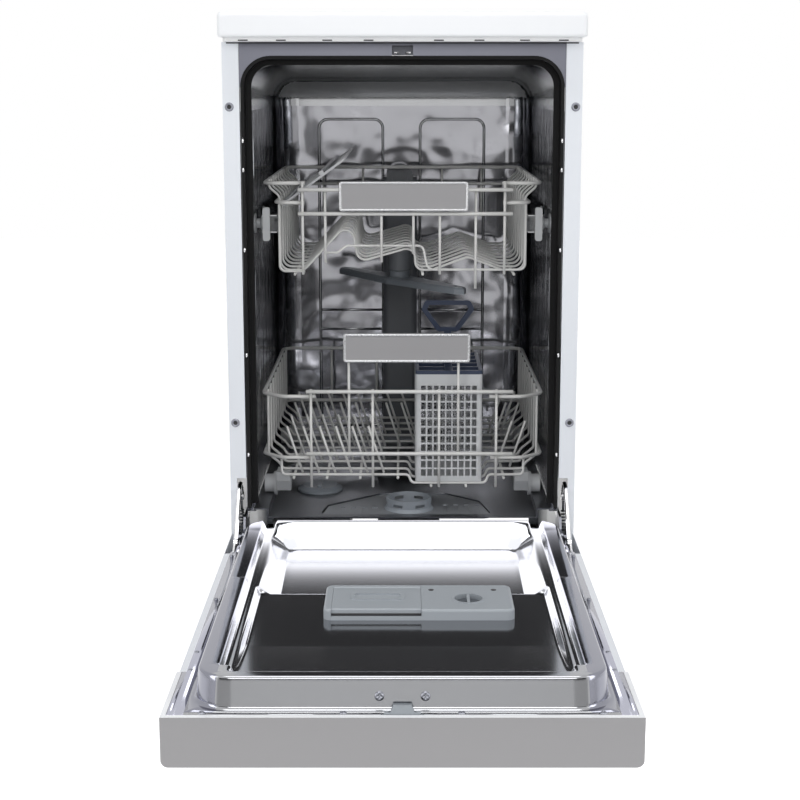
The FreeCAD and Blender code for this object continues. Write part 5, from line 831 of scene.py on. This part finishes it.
frame_wires = [cut_loop(LOWER_RIM, 114), cut_loop(LOWER_LOOP, 116)]
frame_wires += [bar((-126, BAR_FRONT, z), (144.5, BAR_FRONT, z), BAR, ALONG_Z) for z in (365.0, 282.0)]
frame_wires += [upright(x, BASKET_FRONT, low, high) for x, low, high in LOWER_UPRIGHTS]
frame_wires += [upright(x, REAR_STAND, 272, 360) for x in (-110, -40, 40, 110)]
frame_wires += [runner(x, BASKET_REAR, LOWER_FLOOR - WIRE_POINT - WIRE / 2) for x in (-144, -100, -56, -6, 134)]
frame_wires += [runner(x, DIP_RUN, DIP_FLOOR - WIRE_POINT - WIRE / 2) for x in (38, 84)]
piece("lower_frame_wires", frame_wires, "lower_basket", "coated_wire", ["lower_basket_frame"])

# %% [markdown]
# The worktop and the grip plates are blocks with soft edges. Each is a stack of rounded rectangles that shrink where
# an edge turns over, which costs few faces and gives every edge its thin line of light.

# %% Soft worktop
FACING_FRONT = [(1, 0, 0), (0, 0, 1), (0, -1, 0)]
CORNER_STEPS = 6


def stacked(centre, rows, axes, steps=CORNER_STEPS):
    """Closed stack of rounded rectangles of (half width, half height, corner radius, level) along the third axis."""
    rows = np.asarray(rows, float)[:, :, None]
    angle = np.radians((90 * np.arange(4)[:, None] + np.linspace(0, 90, steps + 1)).ravel())
    right = np.repeat([1, -1, -1, 1], steps + 1)
    up = np.repeat([1, 1, -1, -1], steps + 1)
    u = right * (rows[:, 0] - rows[:, 2]) + rows[:, 2] * np.cos(angle)
    v = up * (rows[:, 1] - rows[:, 2]) + rows[:, 2] * np.sin(angle)
    w = rows[:, 3] + 0 * angle
    points = np.asarray(centre, float) + np.stack([u, v, w], -1) @ np.asarray(axes, float)
    count = len(angle)
    last = (len(rows) - 1) * count
    faces = grid_faces(len(rows), count, True)[:, ::-1].tolist()
    return points.reshape(-1, 3), faces + [list(range(count))[::-1], list(range(last, last + count))]


def shrunk(wide, tall, turns):
    """Rows for a stack from (inset, corner radius, level)."""
    return [(wide - inset, tall - inset, radius, level) for inset, radius, level in turns]


low, high = extent("worktop")
wide, deep, thick = (high - low) / (2, 2, 1)
under_edge = [(4, 4, 0), (3, 5, 0), (0.9, 7, 0.9), (0, 8, 3), (0, 8, 4)]
upper_edge = [(0, 8, thick - 6), (0, 8, thick - 5), (0.7, 7.3, thick - 2.5), (2.5, 5.5, thick - 0.7), (5, 3, thick),
              (6, 2, thick)]
slab = shrunk(wide, deep, under_edge + upper_edge)
at = ((low[0] + high[0]) / 2, (low[1] + high[1]) / 2, low[2])
piece("soft_worktop", [stacked(at, slab, np.eye(3))], "cabinet", "worktop_laminate", ["worktop"])

# %% [markdown]
# Each grip plate has a raised rim round a sunk field, and the rim is painted a paler silver as a highlight.

# %% Grip plates
PLATE = [(2, 2, 0), (1, 3, 0), (0, 4, 1), (0, 4, 5.4), (0.6, 3.4, 6.6), (1.5, 2.6, 7), (2.4, 2, 7), (3.2, 1.6, 6.2),
         (3.6, 1.4, 5.8), (4.6, 1.2, 5.8)]
RIM_FIRST, RIM_LAST = 3, 7
GRIPS = (("upper_grip", "upper_basket_handle", "upper_basket"), ("lower_grip", "lower_basket_handle", "lower_basket"))

# The rim of the grip is painted a paler, more metal silver: a painted highlight along it.
rim_highlight_silver = finish("rim_highlight_silver", (214, 215, 217), 0.6, 0.25, 0.3, grain, 900, 0.00001)
grip_silver = finish("grip_silver", (158, 157, 159), 0, 0.38, 0.46, grain, 1200, 0.00002)
around = 4 * (CORNER_STEPS + 1)
for name, node, body in GRIPS:
    low, high = extent(node)
    plate = shrunk((high[0] - low[0]) / 2, (high[2] - low[2]) / 2, PLATE)
    at = ((low[0] + high[0]) / 2, high[1], (low[2] + high[2]) / 2)
    grip = piece(name, [stacked(at, plate, FACING_FRONT)], body, "silver_plastic", [node])
    grip.data.materials[0] = grip_silver
    grip.data.materials.append(rim_highlight_silver)
    on_rim = np.zeros(len(grip.data.polygons), np.int32)
    on_rim[RIM_FIRST * around:RIM_LAST * around] = 1
    grip.data.polygons.foreach_set("material_index", on_rim)

# %% [markdown]
# Raised beads frame the pressed fields of the tub's back wall. A half-sunk wire of steel along each outline gives
# the same dark and bright double line as a pressed bead.

# %% Beads of the back wall
BACK_WALL, FIELD_LOW, FIELD_HIGH = 480.0, 228, 706
CROSS_BEADS = (382, 412)

beads = []
for left, right in ((-128, -30), (27, 125)):
    middle = (left + right) / 2
    outline = [(middle, FIELD_LOW), (left, FIELD_LOW), (left, FIELD_HIGH), (right, FIELD_HIGH), (right, FIELD_LOW),
               (middle, FIELD_LOW)]
    beads.append(tube(rounded_route(front_route(outline, BACK_WALL), 14), 2.2, ALONG_Y))
    beads += [bar((left + 2, BACK_WALL, z), (right - 2, BACK_WALL, z), 3.6, ALONG_Y) for z in CROSS_BEADS]
piece("wall_beads", beads, "cabinet", "stainless")

# %% [markdown]
# Small dark and bright details: dark blocks painted as the shade in the slots of the frame under the worktop, with a
# painted shadow line below them, the clips that hold the gasket's edge, and on the dispenser a painted shadow in the
# gap under the lid and two sight discs.

# %% Slots, clips and marks
SLOT_SHARES = (-0.885, -0.674, -0.417, -0.188, 0.202, 0.427, 0.679, 0.894)
SLOT_WIDE, SHADOW_WIDE, SLOT_TALL = 12, 434, 1.6
CLIP_SIDE, CLIP_HEIGHTS, CLIP_HALF, CLIP_THICK = 198.4, (690, 654, 554, 420, 290), 2.4, 2.6
SIGHT_DISC, SIGHT_SPOTS = [(3.2, -0.3), (3.2, 0.12), (0.05, 0.12)], ((31.5, -322, 211), (100.5, -322, 211))


def shade_mark(x, y, z, wide, tall):
    """Thin dark block painted as the shade in the mouth of a slot or along a gap."""
    rows = [(wide / 2, tall / 2, tall / 3, -0.4), (wide / 2, tall / 2, tall / 3, 0.15)]
    return stacked((x, y, z), rows, FACING_FRONT, 2)


low, high = extent("worktop_frame")
# Dark blocks painted as the shade in the vent slots, and a painted shadow line under the frame.
marks = [shade_mark(share * high[0], low[1], low[2] + 1.4, SLOT_WIDE, SLOT_TALL) for share in SLOT_SHARES]
marks.append(shade_mark(0, 0, low[2] - 1.0, SHADOW_WIDE, SLOT_TALL))
piece("vent_mouth_shade", marks, "cabinet", "black_plastic", smooth=False)
clip_spots = [(x, z) for x in (-CLIP_SIDE, CLIP_SIDE) for z in CLIP_HEIGHTS]
clips = [bar((x, -0.4, z - CLIP_HALF), (x, -0.4, z + CLIP_HALF), CLIP_THICK, ALONG_Y) for x, z in clip_spots]
piece("gasket_clips", clips, "cabinet", "chromed_rod")
low, high = extent("detergent_lid")
# A thin dark block under the lid's near edge is a painted shadow in the gap.
ledge = [((high[0] - low[0]) / 2, 0.3, 0.1, level) for level in (low[2] - 0.6, low[2] + 2.0)]
dark_marks = [stacked(((low[0] + high[0]) / 2, low[1] - 0.7, 0), ledge, np.eye(3), 2)]
dark_marks += [lathe(SIGHT_DISC, spot, ALONG_Z, 20) for spot in SIGHT_SPOTS]
piece("dispenser_marks", dark_marks, "door", "black_plastic")

# %% [markdown]
# The balance springs are wound wire.

# %% Springs
COIL_LOW, COIL_HIGH, COIL_RADIUS, COIL_WIRE, COIL_TURNS, TURN_STEPS = 62, 208, 4.3, 2.2, 34, 14
HOOK_LOW, HOOK_HIGH, HOOK_WIRE = 206, 220, 3


def coil(x, y):
    """Helix c(s) = (R cos ws, R sin ws, z0 + ps) with a round section."""
    s = np.linspace(0, 1, COIL_TURNS * TURN_STEPS + 1)
    angle = 2 * math.pi * COIL_TURNS * s
    outward = np.stack([np.cos(angle), np.sin(angle), 0 * s], 1)
    rise = np.stack([0 * s, 0 * s, COIL_LOW + (COIL_HIGH - COIL_LOW) * s], 1)
    return tube(np.array([x, y, 0]) + outward * COIL_RADIUS + rise, COIL_WIRE / 2, outward, 6)


for sign, name in ((-1, "left_spring"), (1, "right_spring")):
    hook = bar((sign * 212, 35, HOOK_LOW), (sign * 212, 35, HOOK_HIGH), HOOK_WIRE, ALONG_Y)
    stands_for = ["door_springs"] if sign < 0 else ()
    spring = piece(name, [coil(sign * 214, 35), hook], "cabinet", "zinc_steel", stands_for)
    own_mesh(spring)

# %% [markdown]
# Small screws hold the strips, the liner and the lock. Those of the strips are round washers with a recess painted
# dark as its shade, and the others have a cross recess.

# %% Screws
HEAD_RINGS, HEAD_SIDES, CROSS_TURN = (1.0, 0.98, 0.66, 0.6, 0.2, 0.02), 16, (0.05, 0.4, 0.9)
WASHER = [(5.6, 0), (5.4, 0.8), (4.6, 1.2), (3.2, 1.2), (2.7, 0.5)]
RECESS = [(2.7, 0.5), (1.2, 0.3), (0.05, 0.3)]
STRIP_SPOTS = [(x, 0, z) for x in (-214.5, 214.5) for z in (731.5, 332)]
WALL_SLANT = (0, FLANGE - CREST, 8)


def screw(centre, axis, radius):
    """Domed head with a cross recess: height h(r) = d (1 - r^2), sunk where |x| or |y| is small."""
    r = np.array(HEAD_RINGS)[:, None]
    a = np.linspace(0, 2 * math.pi, HEAD_SIDES, endpoint=False)[None, :]
    x, y = r * np.cos(a), r * np.sin(a)
    cross = (np.minimum(abs(x), abs(y)) < 0.17) & (r < 0.63)
    height = np.where(r > 0.99, 0.0, radius * (0.5 * (1 - r ** 2) + 0.08)) - cross * radius * 0.32
    axis = unit(axis)
    across = unit(np.cross(axis, CROSS_TURN))
    other = np.cross(axis, across)
    flat = radius * (x[..., None] * across + y[..., None] * other)
    points = np.asarray(centre, float) + flat + height[..., None] * axis
    count = len(HEAD_RINGS) * HEAD_SIDES
    middle = list(range(count - HEAD_SIDES, count))
    return points.reshape(-1, 3), grid_faces(len(HEAD_RINGS), HEAD_SIDES, True).tolist() + [middle]


piece("strip_screws", [lathe(WASHER, spot, TO_FRONT, 20) for spot in STRIP_SPOTS], "cabinet", "zinc_steel")
# Black discs in the washers' recesses are painted shade.
piece("screw_recess_shade", [lathe(RECESS, spot, TO_FRONT, 20) for spot in STRIP_SPOTS], "cabinet", "black_plastic")
flange_screws = [screw((x, y, FLANGE), ALONG_Z, 2.6) for x in (-210.8, 210.8) for y in (-113, -284, -459, -511)]
flange_screws += [screw((x, -623.6, FLANGE), ALONG_Z, 3.6) for x in (-186.5, -55, 55, 186.5)]
flange_screws += [screw((x, -613.2, 200.5), WALL_SLANT, 4.6) for x in (-21.5, 21.5)]
piece("liner_screws", flange_screws, "door", "zinc_steel")
